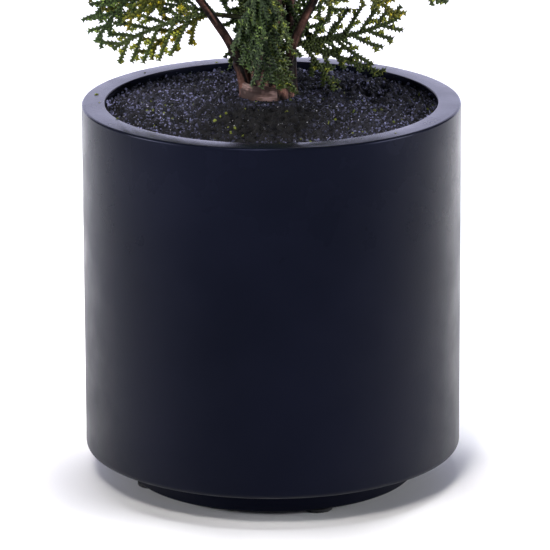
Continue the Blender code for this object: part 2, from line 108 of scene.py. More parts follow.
def noiseAt(tree, place, millimetres, detail=2.0, low=0.0, high=1.0, from_=(0.35, 0.65)):
    # noise whose lumps are about this wide, spread over a range
    noise = addNode(tree, "ShaderNodeTexNoise",
                    {"Vector": place, "Scale": 500 / millimetres, "Detail": detail}, out="Fac")
    return addNode(tree, "ShaderNodeMapRange", {"Value": noise, "From Min": from_[0], "From Max": from_[1],
                                                "To Min": low, "To Max": high})


def addBump(tree, shader, height, millimetres, strength=1.0):
    bump = addNode(tree, "ShaderNodeBump",
                   {"Height": height, "Distance": millimetres / 1000, "Strength": strength})
    tree.links.new(bump, shader.inputs["Normal"])


def addPiece(name, vertices, faces, finish, smooth=True):
    mesh = bpy.data.meshes.new(name)
    if isinstance(faces, np.ndarray):  # triangles only
        mesh.vertices.add(len(vertices))
        mesh.vertices.foreach_set("co", np.asarray(vertices, np.float32).ravel())
        mesh.loops.add(faces.size)
        mesh.loops.foreach_set("vertex_index", faces.astype(np.int32).ravel())
        mesh.polygons.add(len(faces))
        mesh.polygons.foreach_set("loop_start", np.arange(0, faces.size, 3, dtype=np.int32))
        mesh.update(calc_edges=True)
        mesh.validate()
    else:
        mesh.from_pydata([tuple(vertex) for vertex in vertices], [], faces)
    if smooth:
        mesh.shade_smooth()
        mesh.set_sharp_from_angle(angle=math.radians(sharpEdge))
    mesh.materials.append(finish)
    piece = bpy.data.objects.new(name, mesh)
    bpy.context.scene.collection.objects.link(piece)
    return piece


def dress(piece, slot, *replaced):
    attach(piece, "root")
    if replaced:
        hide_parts(*replaced)
    print("made", piece.name, len(piece.data.polygons), "faces")


def geometryTree(name, inputs):
    # a tree with named inputs, given as name: (socket kind, value)
    tree = bpy.data.node_groups.new(name, "GeometryNodeTree")
    tree.interface.new_socket("Geometry", in_out="INPUT", socket_type="NodeSocketGeometry")
    for label, (kind, value) in inputs.items():
        socket = tree.interface.new_socket(label, in_out="INPUT", socket_type="NodeSocket" + kind)
        if value is not None:
            socket.default_value = value
    tree.interface.new_socket("Geometry", in_out="OUTPUT", socket_type="NodeSocketGeometry")
    return tree, addNode(tree, "NodeGroupInput", out=None)


def endTree(tree, shape, finish):
    whole = addNode(tree, "GeometryNodeRealizeInstances", {"Geometry": shape})
    coated = addNode(tree, "GeometryNodeSetMaterial", {"Geometry": whole, "Material": finish})
    addNode(tree, "NodeGroupOutput", {"Geometry": coated})


def runTree(name, mesh, tree, values):
    carrier = bpy.data.objects.new(name + "Source", mesh)
    bpy.context.scene.collection.objects.link(carrier)
    modifier = carrier.modifiers.new("grow", "NODES")
    modifier.node_group = tree
    for socket in tree.interface.items_tree:
        if socket.in_out == "INPUT" and socket.name in values:
            modifier[socket.identifier] = values[socket.name]
    graph = bpy.context.evaluated_depsgraph_get()
    made = bpy.data.meshes.new_from_object(carrier.evaluated_get(graph))
    bpy.data.objects.remove(carrier)
    made.name = name
    piece = bpy.data.objects.new(name, made)
    bpy.context.scene.collection.objects.link(piece)
    return piece


# camera, lights and floor

cameraView = dict(distance=4.9705, elevation=14.129, pitch=16.1384, yaw=0.0346, roll=-0.2297, lens=324.87,
                  sensor=36, farClip=100)


def placeCamera(look):
    rise, tip, turn = (math.radians(look[key]) for key in ("elevation", "pitch", "yaw"))
    forward = Vector((math.sin(turn) * math.cos(tip), math.cos(turn) * math.cos(tip), -math.sin(tip)))
    right = Vector((math.cos(turn), -math.sin(turn), 0))
    facing = Matrix((right, right.cross(forward), -forward)).transposed()
    facing = facing @ Matrix.Rotation(math.radians(look["roll"]), 3, "Z")
    camera = bpy.data.objects.new("camera", bpy.data.cameras.new("camera"))
    camera.data.lens = look["lens"]
    camera.data.sensor_width = look["sensor"]
    camera.data.clip_end = look["farClip"]
    place = Vector((0, -look["distance"] * math.cos(rise), look["distance"] * math.sin(rise) + rimTop))
    camera.matrix_world = Matrix.Translation(place) @ facing.to_4x4()
    bpy.context.scene.collection.objects.link(camera)
    bpy.context.scene.camera = camera


placeCamera(cameraView)

studio = dict(
    world="#dfe3ff", worldStrength=0.18, horizonStrength=0.95, horizonHeight=0.06,
    softboxes=(  # name, place, aim, width, height, beam in degrees, watts, colour
        ("backdrop", (0.0, 3.4, 1.5), (0, 0, 1.5), 5.5, 2.9, 180, 96, "#dedeff"),
        ("overhead", (0.0, 0.0, 5.0), (0, 0, 0), 24.0, 24.0, 14, 1900, "#ffffff"),
        ("left", (-2.2, -0.6, 1.1), (0, 0, 1.1), 1.2, 1.2, 60, 16, "#ffffff"),
        ("right", (2.2, -0.6, 1.1), (0, 0, 1.1), 1.2, 1.2, 60, 16, "#ffffff"),
        ("front", (-0.5, -1.9, 2.6), (0, 0, 0.95), 0.8, 0.8, 36, 9, "#fffaf2"),
    ),
    floor="#f2f2f4", floorAlso="#eeeef1", floorSize=24.0, floorRoughness=0.9, floorPatch=400,
)


def lightStudio(row):
    world = bpy.data.worlds.new("studio")
    world.use_nodes = True
    ground = world.node_tree.nodes["Background"]
    ground.inputs["Color"].default_value = (*linear(row["world"]), 1)
    sky = addNode(world.node_tree, "ShaderNodeTexCoord", out="Generated")  # the direction, in a world
    up = addNode(world.node_tree, "ShaderNodeSeparateXYZ", {0: sky}, out=2)
    strength = addNode(world.node_tree, "ShaderNodeMapRange", {
        "Value": up, "From Min": 0.0, "From Max": row["horizonHeight"], "To Min": row["horizonStrength"],
        "To Max": row["worldStrength"]})
    world.node_tree.links.new(strength, ground.inputs["Strength"])
    bpy.context.scene.world = world
    for name, place, aim, width, height, beam, power, colour in row["softboxes"]:
        light = bpy.data.lights.new("softbox " + name, "AREA")
        light.shape, light.size, light.size_y = "RECTANGLE", width, height
        light.spread, light.energy, light.color = math.radians(beam), power, linear(colour)
        holder = bpy.data.objects.new("softbox_" + name, light)
        holder.location = place
        holder.rotation_euler = (Vector(aim) - Vector(place)).to_track_quat("-Z", "Y").to_euler()
        holder.visible_camera = False
        bpy.context.scene.collection.objects.link(holder)
    finish, tree, shader, place = startMaterial("matt studio paper", Roughness=row["floorRoughness"])
    shade = noiseAt(tree, place, row["floorPatch"])  # the faint unevenness of rolled paper
    tree.links.new(mixColours(tree, shade, row["floor"], row["floorAlso"]), shader.inputs["Base Color"])
    half = row["floorSize"] / 2
    floor = addPiece("floor", [(-half, -half, 0), (half, -half, 0), (half, half, 0), (-half, half, 0)],
                     [(0, 1, 2, 3)], finish, smooth=False)
    bpy.context.scene.view_settings.view_transform = "Standard"


lightStudio(studio)
print("studio ready")


# planter: a double wall turned in one piece, on a recessed plinth

planter = dict(
    radius=0.190, wall=0.0234, bodyBottom=0.0318, plinthRadius=0.1449, plinthBottom=0.004, plinthBevel=0.0015,
    baseRound=0.006, rimOuterRound=0.0025, rimInnerRound=0.0015, innerFloor=0.0568, sides=256, roundSteps=6,
    colour="#080a12", worn="#0c0e18", roughness=0.23, ior=1.40, tint="#5f648c",
    # the inner wall's low sheen is painted shade for the hollow
    sheen=0.36, innerShadeSheen=0.07, rougherBelow=0.26, cloud=90, mottle=22,  # the last two in millimetres
    pebbleScale=420.0, swellScale=9.0, swellShare=12.0, relief=0.05, wallSteps=12,
)


def planterPlastic(name, row, sheen):
    # rotation-moulded polyethylene, black with a blue cast: a soft sheen, faintly mottled, with a fine grain
    finish, tree, shader, place = startMaterial(name, IOR=row["ior"], Specular_Tint=(*linear(row["tint"]), 1),
                                                Specular_IOR_Level=sheen)
    cloud = noiseAt(tree, place, row["cloud"], detail=4.0)
    tree.links.new(mixColours(tree, cloud, row["colour"], row["worn"]), shader.inputs["Base Color"])
    mottle = noiseAt(tree, place, row["mottle"], detail=5.0, low=row["roughness"] - 0.04,
                     high=row["roughness"] + 0.05)
    pebbles, swell = (
        addNode(tree, "ShaderNodeTexNoise", {"Vector": place, "Scale": scale, "Detail": detail}, out="Fac")
        for scale, detail in ((row["pebbleScale"], 3.0), (row["swellScale"], 1.0)))
    height = addNode(tree, "ShaderNodeMath", {0: swell, 1: row["swellShare"], 2: pebbles},
                     operation="MULTIPLY_ADD")  # 1.2 mm pebbling on an uneven wall
    addBump(tree, shader, height, row["relief"])
    # it is duller towards the ground
    up = addNode(tree, "ShaderNodeSeparateXYZ", {0: place}, out=2)
    low = addNode(tree, "ShaderNodeMapRange", {"Value": up, "From Min": 0.0, "From Max": rimTop,
                                               "To Min": row["rougherBelow"], "To Max": 0.0})
    tree.links.new(addNode(tree, "ShaderNodeMath", {0: mottle, 1: low}, operation="ADD"),
                   shader.inputs["Roughness"])
    return finish


def roundedEdge(radius, z, rounding, start, end, steps):
    angles = [math.radians(start + (end - start) * step / steps) for step in range(steps + 1)]
    return [(radius + rounding * math.cos(angle), z + rounding * math.sin(angle)) for angle in angles]


def turn(name, profile, sides, finish):
    # a closed turned piece: its profile runs from the axis at the bottom to the axis at the top or inside
    vertices = [(0, 0, profile[0][1])]
    for radius, z in profile[1:-1]:
        vertices += [(radius * math.cos(2 * math.pi * side / sides),
                      radius * math.sin(2 * math.pi * side / sides), z)
                     for side in range(sides)]
    vertices.append((0, 0, profile[-1][1]))
    rings = len(profile) - 2
    faces = []
    for side in range(sides):
        after = (side + 1) % sides
        faces.append((0, 1 + after, 1 + side))
        for ring in range(rings - 1):
            low, high = 1 + ring * sides, 1 + (ring + 1) * sides
            faces.append((low + side, low + after, high + after, high + side))
        top = 1 + (rings - 1) * sides
        faces.append((top + side, top + after, len(vertices) - 1))
    return addPiece(name, vertices, faces, finish)


def makePlanter(row):
    inner = row["radius"] - row["wall"]
    steps = row["roundSteps"]
    profile = [(0, row["plinthBottom"]), (row["plinthRadius"] - row["plinthBevel"], row["plinthBottom"]),
               (row["plinthRadius"], row["plinthBottom"] + row["plinthBevel"]),
               (row["plinthRadius"], row["bodyBottom"] - 0.0004),
               (row["plinthRadius"] + 0.0004, row["bodyBottom"])]
    profile += roundedEdge(row["radius"] - row["baseRound"], row["bodyBottom"] + row["baseRound"],
                           row["baseRound"], -90, 0, steps)
    low, high = row["bodyBottom"] + row["baseRound"], rimTop - row["rimOuterRound"]
    wall = row["wallSteps"]
    profile += [(row["radius"], low + (high - low) * step / wall) for step in range(1, wall)]
    profile += roundedEdge(row["radius"] - row["rimOuterRound"], high, row["rimOuterRound"], 0, 90, steps)
    profile += roundedEdge(inner + row["rimInnerRound"], rimTop - row["rimInnerRound"],
                           row["rimInnerRound"], 90, 180, steps)
    profile += [(inner, row["innerFloor"]), (0, row["innerFloor"])]
    shell = turn("planterShell", profile, row["sides"],
                 planterPlastic("moulded polyethylene", row, row["sheen"]))
    shell.data.materials.append(planterPlastic("shaded inner polyethylene", row, row["innerShadeSheen"]))
    for face in shell.data.polygons:  # painted shade: the inner wall gets a copy of the plastic with little sheen, so it reads darker
        level = Vector((face.center.x, face.center.y, 0)).length
        if level < inner + 0.0006 and face.center.z > row["bodyBottom"]:
            face.material_index = 1
    dress(shell, "planter", "pot")


makePlanter(planter)

feet = dict(colour="#101013", scuffed="#1d1d20", roughness=0.62)


def finishFeet(row):
    # moulded rubber: matt black, dusty where it has been dragged
    finish, tree, shader, place = startMaterial("black rubber", Roughness=row["roughness"])
    dust = noiseAt(tree, place, 5, detail=3.0)
    tree.links.new(mixColours(tree, dust, row["colour"], row["scuffed"]), shader.inputs["Base Color"])
    addBump(tree, shader, dust, 0.1)
    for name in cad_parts:
        if name.startswith("foot"):
            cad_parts[name].data.materials.clear()
            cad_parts[name].data.materials.append(finish)


finishFeet(feet)
print("planter ready")


# filling: black peat and grit over the planter's hollow, heaped a little towards the trunk

filling = dict(
    shape=((0.0, 0.0024), (0.048, 0.002), (0.135, -0.004), (0.1663, -0.009)),  # radius, height above the rim
    rings=96, sides=320, lumps=0.0032, floor=0.0571,
    black="#060608", grey="#2a2a36", roughness=0.88, footReach=0.030, footBlend=0.02,
    grains=dict(  # number to a square metre, smallest, largest, seed, finish, and whether along the wall
        blackGrit=(76000, 0.0007, 0.0017, 3, "lava", False), clods=(2600, 0.0010, 0.0021, 13, "lava", False),
        paleGrit=(5200, 0.0005, 0.0010, 8, "stone", False),
        leafCrumbs=(1150, 0.0010, 0.0025, 21, "leaf", False),
        wallGrit=(52000, 0.0008, 0.0019, 5, "lava", True),
    ),
    finishes=dict(  # name, two tones and roughness
        lava=("coal-black grit", "#040406", "#73759a", 0.62),  # crushed, with grey faces
        stone=("pale grit", "#8d8d99", "#4c4c58", 0.6),  # perlite dust and broken stone: pale specks
        leaf=("dropped scale leaf", "#555d20", "#3f4d22", 0.5),  # crumbs of the sprays
    ),
    # after the pale share: the centre, reach and darkest level of the painted shade in front of the trunk;
    # last, the width in millimetres of the painted light and shade of small ripples
    paleShare=0.9, shadeSpot=(-0.005, -0.085), shadeReach=(0.04, 0.105), shadeLevel=0.04, rippleShading=8,
    rimCrumbs=(  # x, y and size of what was spilt on the rim
        (-0.176, 0.029, 0.0016), (-0.0564, 0.163, 0.0011), (-0.1295, 0.1197, 0.0009),
        (-0.152, -0.0685, 0.0013), (-0.172, -0.004, 0.0007), (0.121, -0.131, 0.0008)),
)


def waves(count, shortest, longest, seed):
    # smooth height noise on a plane as a sum of waves; gives about -1 to 1
    dice = np.random.default_rng(seed)
    pitch = dice.uniform(shortest, longest, count)
    way = dice.uniform(0, 2 * math.pi, count)
    phase = dice.uniform(0, 2 * math.pi, count)
    return lambda x, y: sum(np.sin((x * np.cos(w) + y * np.sin(w)) * 2 * math.pi / p + f)
                            for p, w, f in zip(pitch, way, phase)) / math.sqrt(count)


def fillingHeight(row):
    radii, heights = zip(*row["shape"])
    coarse, fine = waves(14, 0.016, 0.045, 1), waves(24, 0.006, 0.012, 2)

    def height(x, y):
        reach = np.hypot(x, y)
        flat = np.clip((reach - row["footReach"]) / row["footBlend"], 0, 1)  # level round the trunk's foot
        lump = (0.6 * coarse(x, y) + 0.7 * fine(x, y)) * row["lumps"] * flat
        return rimTop + np.interp(reach, radii, heights) + lump

    return height


def paintedShadeFactor(tree, place, row):
    # painted shade: near 0 in front of the trunk, up to 1 further away from there
    gap = addNode(tree, "ShaderNodeVectorMath", {0: place, 1: (*row["shadeSpot"], rimTop)}, out="Value",
                  operation="DISTANCE")
    return addNode(tree, "ShaderNodeMapRange", {"Value": gap, "From Min": row["shadeReach"][0],
                                                "From Max": row["shadeReach"][1], "To Min": row["shadeLevel"]})


def fillingFinish(row):
    # peat and grit: coal-black grains with grey faces, fully rough, darkened in front of the trunk by painted
    # shade
    finish, tree, shader, place = startMaterial("peat and grit", Roughness=row["roughness"], IOR=1.3)
    grain = noiseAt(tree, place, 1.6, detail=4.0)
    shade = grain
    for other in (noiseAt(tree, place, 30, low=0.2), paintedShadeFactor(tree, place, row)):  # in patches, and with painted shade in front of the trunk
        shade = addNode(tree, "ShaderNodeMath", {0: shade, 1: other}, operation="MULTIPLY")
    tree.links.new(mixColours(tree, shade, row["black"], row["grey"]), shader.inputs["Base Color"])
    addBump(tree, shader, grain, 0.5)
    return finish


def plainGrain(row, name, first, second, roughness):
    # each grain has a tone of its own, under painted light and shade in small ripples and painted shade in
    # front of the trunk
    finish, tree, shader, place = startMaterial(name, Roughness=roughness, IOR=1.2)
    tone = addNode(tree, "ShaderNodeAttribute", out="Fac", attribute_name="tone")
    shade = addNode(tree, "ShaderNodeMapRange", {"Value": tone, "From Min": 1 - row["paleShare"]})
    for other in (paintedShadeFactor(tree, place, row),
                  noiseAt(tree, place, row["rippleShading"], detail=3.0, low=0.3, from_=(0.38, 0.56))):
        shade = addNode(tree, "ShaderNodeMath", {0: shade, 1: other}, operation="MULTIPLY")
    tree.links.new(mixColours(tree, shade, first, second), shader.inputs["Base Color"])
    addBump(tree, shader, noiseAt(tree, place, 1.0, detail=3.0), 0.2)
    return finish


def grainTree():
    # small angular stones scattered over a surface, sunk a little into it
    tree, given = geometryTree("scattered grains", {
        "Density": ("Float", 1000.0), "Smallest": ("Float", 0.001), "Largest": ("Float", 0.002),
        "Seed": ("Int", 0), "Finish": ("Material", None)})
    upward = addNode(tree, "ShaderNodeSeparateXYZ", {0: addNode(tree, "GeometryNodeInputNormal")}, out=2)
    chosen = addNode(tree, "FunctionNodeCompare", {0: upward, 1: -0.2}, operation="GREATER_THAN")
    spread = addNode(tree, "GeometryNodeDistributePointsOnFaces",
                     {"Mesh": given["Geometry"], "Selection": chosen, "Density": given["Density"],
                      "Seed": given["Seed"]}, out="Points")
    stone = addNode(tree, "GeometryNodeMeshIcoSphere", {"Radius": 1.0, "Subdivisions": 1}, out="Mesh")
    turnSeed = addNode(tree, "ShaderNodeMath", {0: given["Seed"], 1: 17.0}, operation="ADD")
    spin = addNode(tree, "FunctionNodeRandomValue", {"Max": (6.28, 6.28, 6.28), "Seed": turnSeed},
                   data_type="FLOAT_VECTOR")
    size = addNode(tree, "FunctionNodeRandomValue", {2: given["Smallest"], 3: given["Largest"],
                                                    "Seed": given["Seed"]}, out=1, data_type="FLOAT")
    shape = addNode(tree, "FunctionNodeRandomValue", {"Min": (0.6, 0.5, 0.4), "Max": (1.4, 1.1, 1.0),
                                                      "Seed": turnSeed}, data_type="FLOAT_VECTOR")
    scale = addNode(tree, "ShaderNodeVectorMath", {0: shape, "Scale": size}, operation="SCALE")
    grains = addNode(tree, "GeometryNodeInstanceOnPoints",
                     {"Points": spread, "Instance": stone, "Rotation": spin, "Scale": scale})
    toneSeed = addNode(tree, "ShaderNodeMath", {0: given["Seed"], 1: 31.0}, operation="ADD")
    tone = addNode(tree, "FunctionNodeRandomValue", {"Seed": toneSeed}, out=1, data_type="FLOAT")
    grains = addNode(tree, "GeometryNodeStoreNamedAttribute",
                     {"Geometry": grains, "Name": "tone", "Value": tone},
                     data_type="FLOAT", domain="INSTANCE")
    endTree(tree, grains, given["Finish"])
    return tree


def ringFaces(rings, sides):
    # the faces of an open sheet that runs ring after ring outwards
    return [(ring * sides + side, (ring + 1) * sides + side, (ring + 1) * sides + (side + 1) % sides,
             ring * sides + (side + 1) % sides) for ring in range(rings) for side in range(sides)]


def surfaceMesh(name, row, inner, outer, rings, lift=0.0):
    # an open sheet that follows the filling between two radii, for grains to lie on
    height = fillingHeight(row)
    sides = row["sides"]
    angles = np.arange(sides) * 2 * math.pi / sides
    vertices = []
    for ring in range(rings + 1):
        reach = inner + (outer - inner) * ring / rings
        x, y = reach * np.cos(angles), reach * np.sin(angles)
        z = height(x, y) + lift * ring / rings
        vertices += list(zip(x, y, z))
    mesh = bpy.data.meshes.new(name)
    mesh.from_pydata(vertices, [], ringFaces(rings, sides))
    return mesh


def makeFilling(row):
    finish = fillingFinish(row)
    height = fillingHeight(row)
    outer = row["shape"][-1][0]
    sides = row["sides"]
    angles = np.arange(sides) * 2 * math.pi / sides
    vertices = [(0, 0, float(height(np.zeros(1), np.zeros(1))[0]))]
    for ring in range(1, row["rings"] + 1):
        reach = outer * ring / row["rings"]
        x, y = reach * np.cos(angles), reach * np.sin(angles)
        vertices += list(zip(x, y, height(x, y)))
    vertices += [(outer * math.cos(angle), outer * math.sin(angle), row["floor"]) for angle in angles]
    vertices.append((0, 0, row["floor"]))
    faces = []
    for side in range(sides):
        after = (side + 1) % sides
        faces.append((0, 1 + side, 1 + after))
        for ring in range(row["rings"]):
            low, high = 1 + ring * sides, 1 + (ring + 1) * sides
            faces.append((low + side, high + side, high + after, low + after))
        last = 1 + row["rings"] * sides
        faces.append((last + side, len(vertices) - 1, last + after))
    dress(addPiece("peatBed", vertices, faces, finish), "filling", "soil")

    tree = grainTree()
    coats = {key: plainGrain(row, *given) for key, given in row["finishes"].items()}
    bed = surfaceMesh("bed", row, 0.006, outer - 0.001, 40)
    edge = surfaceMesh("edge", row, outer - 0.007, outer - 0.0006, 3, lift=0.0032)
    for name, (density, smallest, largest, seed, coat, byWall) in row["grains"].items():
        piece = runTree(name, edge if byWall else bed, tree, {
            "Density": float(density), "Smallest": smallest, "Largest": largest, "Seed": seed,
            "Finish": coats[coat]})
        dress(piece, "filling")
    vertices, faces = [], []
    for x, y, size in row["rimCrumbs"]:
        ball = bmesh.new()
        bmesh.ops.create_icosphere(ball, subdivisions=1, radius=size)
        first = len(vertices)
        vertices += [(x + 1.4 * v.co.x + 0.5 * v.co.y, y + v.co.y, rimTop + size * 0.3 + 0.5 * v.co.z)
                     for v in ball.verts]
        faces += [tuple(first + v.index for v in face.verts) for face in ball.faces]
        ball.free()
    dress(addPiece("rimCrumbs", vertices, faces, coats["leaf"], smooth=False), "filling")


makeFilling(filling)
print("filling ready")


# growth: where the trunk, boughs, stems, twigs and sprays run

growth = dict(
    seed=11, ground=rimTop + 0.002 + clearance,
    foot=Vector((-0.0045, 0.016, 0)), top=Vector((0.000, 0.002, 0)), height=0.930, sway=0.006, swayTurns=1.6,
    trunk=((0.000, 0.0275), (0.007, 0.0268), (0.014, 0.0255), (0.020, 0.0210), (0.028, 0.0165),
           (0.045, 0.0138), (0.090, 0.0125), (0.300, 0.0105), (0.600, 0.0075), (0.930, 0.0032)),
    crown=((-0.02, 0.185), (0.08, 0.210), (0.18, 0.260), (0.30, 0.272), (0.65, 0.185),
           (1.00, 0.080), (1.08, 0.050)),
    lowBoughs={
        "left": dict(offset=(-0.0200, -0.003), azimuth=-91, elevations=(80, 70, 57, 55, 57), length=0.128,
                     radii=(0.0054, 0.0043)),
        "right": dict(offset=(0.0180, -0.004), azimuth=88, elevations=(88, 79, 66, 62, 62), length=0.124,
                      radii=(0.0054, 0.0041)),
        "back_left": dict(offset=(-0.0110, 0.0130), azimuth=-150, elevations=(86, 84, 72, 62), length=0.175,
                          radii=(0.0036, 0.0030)),
        "back_right": dict(offset=(0.0120, 0.0120), azimuth=155, elevations=(87, 83, 70, 58), length=0.190,
                           radii=(0.0036, 0.0028)),
    },
    highBoughs=13, highFirst=0.135, highLast=0.870, highAzimuth=12, highElevations=(58, 42), highShare=0.42,
    highRadii=(0.0044, 0.0018), highTaper=0.75,
    stemRadii=(0.0034, 0.0021), twigRadii=(0.0026, 0.0018), twigFrom=0.15, twigTo=0.80, twigSpread=52,
    twigDroop=0.25, lengths=(0.175, 0.160, 0.145, 0.130, 0.115, 0.100, 0.085, 0.070), reachShare=0.42,
    spread=(42, 62), tilt=65, droop=(0.25, 0.6), sunk=0.008, sag=0.12, tries=9, tryTurn=22, margin=0.003,
    fineSeed=23, fineShare=2.1, fineSpread=(30, 100), fineLengths=(0.115, 0.100, 0.085, 0.070, 0.055),
    fineMargin=-0.012, overTop=0.022,
)

masses = dict(  # a posed or fine spray: share of the stem, azimuth, elevation, tilt, length, reach, droop
    low={
        "left": dict(azimuth=-93, elevations=(60, 62, 45), length=0.19, stemSprays=7, roll=20, posed=(
            (0.30, -97, -30, 80, 0.115, 0.036, 0.4), (0.04, -80, -38, 70, 0.060, 0.022, 0.2),
            (0.12, -83, -24, 78, 0.125, 0.034, 0.8)), fine=(
            (0.02, -88, -10, 80, 0.085, 0.030, 0.5), (0.08, -70, -34, 60, 0.075, 0.028, 0.4),
            (0.20, -100, -28, 70, 0.110, 0.034, 0.7)),
            shades=("gold", "gold", "green", "gold", "gold", "green")),
        "right": dict(azimuth=92, elevations=(62, 60, 45), length=0.19, stemSprays=7, roll=70, posed=(
            (0.03, 88, -20, 75, 0.090, 0.026, 0.3), (0.28, 95, -30, 80, 0.125, 0.030, 0.45)),
            shades=("gold", "olive")),
        "back_left": dict(azimuth=-150, elevations=(55, 40, 20), length=0.15, stemSprays=6, roll=120),
        "back_right": dict(azimuth=155, elevations=(50, 35, 15), length=0.14, stemSprays=6, roll=200),
    },
    skirt={
        "low_left": dict(height=0.076, azimuth=-101, elevations=(6, 4), length=0.064, stemSprays=0, twigs=0,
                         posed=((1.0, -90, -7, 90, 0.110, 0.050, 0.5),
                                (0.8, -112, 12, 60, 0.085, 0.034, 0.3)),
                         fine=((0.35, -150, -72, 80, 0.055, 0.020, 0.1),
                               (0.60, -95, 62, 85, 0.090, 0.032, 0.2),
                               (0.30, -70, 70, 80, 0.080, 0.030, 0.2),
                               (0.9, -105, -20, 70, 0.085, 0.030, 0.4),
                               (0.42, -90, -88, 90, 0.036, 0.012, 0.0),
                               (0.40, -90, 80, 90, 0.080, 0.020, 0.0),
                               (0.45, 160, -60, 85, 0.060, 0.018, 0.2)),
                         shades=("olive", "green", "olive", "green", "olive", "gold", "green", "olive",
                                 "green")),
        "low_right": dict(height=0.040, azimuth=106, elevations=(24, 8), length=0.038, stemSprays=0, twigs=0,
                          posed=((1.0, 91, 2, 90, 0.112, 0.044, -0.35),
                                 (0.8, 118, 10, 50, 0.075, 0.030, 0.2)),
                          fine=((1.0, 88, -20, 85, 0.086, 0.018, 0.0), (1.0, 85, -50, 80, 0.058, 0.020, 0.2),
                                (0.5, 95, 66, 80, 0.080, 0.030, 0.1)),
                          shades=("olive", "green", "olive", "olive", "green")),
        "low_front": dict(height=0.130, azimuth=-8, elevations=(25, -60), length=0.046, stemSprays=0, twigs=0,
                          posed=((1.0, -12, -82, 0, 0.100, 0.036, 0.1), (0.7, 62, -66, 10, 0.090, 0.026, 0.2),
                                 (0.75, -66, -62, -10, 0.085, 0.026, 0.2),
                                 (0.9, 40, -84, 25, 0.105, 0.030, 0.1),
                                 (0.5, -50, -74, -30, 0.095, 0.030, 0.1)),
                          fine=((0.85, -60, -76, -50, 0.085, 0.028, 0.1),
                                (0.95, 60, -79, 65, 0.104, 0.024, 0.1),
                                (0.95, 80, -77, 85, 0.110, 0.024, 0.05),
                                (0.90, -30, -74, 20, 0.095, 0.026, 0.1),
                                (0.60, -20, -60, 10, 0.070, 0.024, 0.5)),
                          shades=("blue", "olive", "blue", "green", "blue", "green", "olive", "olive", "blue",
                                  "green")),
        "low_back": dict(height=0.100, azimuth=178, elevations=(18, 6), length=0.070, stemSprays=5, twigs=1,
                         longest=0.13, fine=(
                             (0.80, -60, -55, 80, 0.100, 0.030, 0.2), (0.80, -80, -45, 80, 0.066, 0.026, 0.3),
                             (0.90, -70, -70, 80, 0.090, 0.030, 0.1), (0.80, 60, -55, 80, 0.090, 0.026, 0.2),
                             (0.90, 80, -70, 80, 0.090, 0.028, 0.1)),
                         shades=("green", "green", "olive", "olive", "green")),
    },
    highElevations=(42, 25, 5), highShare=0.34, twigShare=0.30, fullCount=9, longCount=6,
    top=dict(azimuth=0, elevations=(90, 90), length=0.045, stemSprays=5, twigs=2, twigSprays=2,
             twigLength=0.03, longest=0.100),
)


def heading(azimuth, elevation):
    way, rise = math.radians(azimuth), math.radians(elevation)
    return Vector((math.sin(way) * math.cos(rise), -math.cos(way) * math.cos(rise), math.sin(rise)))


def between(table, position):
    return float(np.interp(position, [row[0] for row in table], [row[1] for row in table]))


def crownRadius(z):
    return between(growth["crown"], z - rimTop)


def path(start, azimuth, elevations, length, steps):
    points = [start.copy()]
    for step in range(steps):
        along = (step + 0.5) / steps * (len(elevations) - 1)
        first = min(int(along), len(elevations) - 2)
        slope = elevations[first] + (elevations[first + 1] - elevations[first]) * (along - first)
        points.append(points[-1] + heading(azimuth, slope) * length / steps)
    return points


def pointOn(points, share):
    along = min(max(share, 0), 0.9999) * (len(points) - 1)
    first = int(along)
    return (points[first].lerp(points[first + 1], along - first),
            (points[first + 1] - points[first]).normalized())


def trunkCentre(height):
    climb = height / growth["height"]
    way = climb * growth["swayTurns"] * 2 * math.pi
    sway = Vector((math.sin(way), 1 - math.cos(way), 0)) * growth["sway"] * (1 - climb) * min(1, climb * 4)
    centre = growth["foot"].lerp(growth["top"], climb) + sway
    return Vector((centre.x, centre.y, growth["ground"] + height))


def boughPaths():
    rows = {}
    for name, row in growth["lowBoughs"].items():
        start = trunkCentre(0.004) + Vector((*row["offset"], 0))
        rows["bough_low_" + name] = (path(start, row["azimuth"], row["elevations"], row["length"], 8),
                                     row["radii"])
    for number in range(growth["highBoughs"]):
        share = number / (growth["highBoughs"] - 1)
        start = trunkCentre(growth["highFirst"] + (growth["highLast"] - growth["highFirst"]) * share)
        thick = growth["highRadii"][0] + (growth["highRadii"][1] - growth["highRadii"][0]) * share
        points = path(start, growth["highAzimuth"] + number * goldenTurn, growth["highElevations"],
                      crownRadius(start.z) * growth["highShare"], 4)
        rows[f"bough_high_{number + 1:02d}"] = (points, (thick, thick * growth["highTaper"]))
    return rows


def massRow(name, start, azimuth, elevations, length, **more):
    row = dict(name=name, points=path(start, azimuth, elevations, length, 5), posed=(), fine=(), shades=(),
               stemSprays=5, twigs=3, twigSprays=3, twigLength=0.075, longest=growth["lengths"][0], roll=0,
               first=None)
    row.update(more)
    return row


def massRows(boughs):
    rows = []
    for name, more in masses["low"].items():
        points, _ = boughs["bough_low_" + name]
        ahead = (points[-1] - points[-2]).normalized()
        rows.append(massRow(name, points[-1] + ahead * clearance, first=ahead, **more))
    for number in range(growth["highBoughs"]):
        points, _ = boughs[f"bough_high_{number + 1:02d}"]
        ahead = (points[-1] - points[-2]).normalized()
        out = crownRadius(points[-1].z)
        rows.append(massRow(f"{number + 1:02d}", points[-1] + ahead * clearance,
                            growth["highAzimuth"] + number * goldenTurn, masses["highElevations"],
                            out * masses["highShare"], first=ahead, roll=number * 50,
                            twigs=3 if number < masses["fullCount"] else 2,
                            twigLength=out * masses["twigShare"],
                            longest=growth["lengths"][0 if number < masses["longCount"] else 3]))
    for name, more in masses["skirt"].items():
        more = dict(more)
        rows.append(massRow(name, trunkCentre(more.pop("height")), **more))
    rows.append(massRow("top", trunkCentre(growth["height"]) + Vector((0, 0, clearance)), **masses["top"]))
    return rows


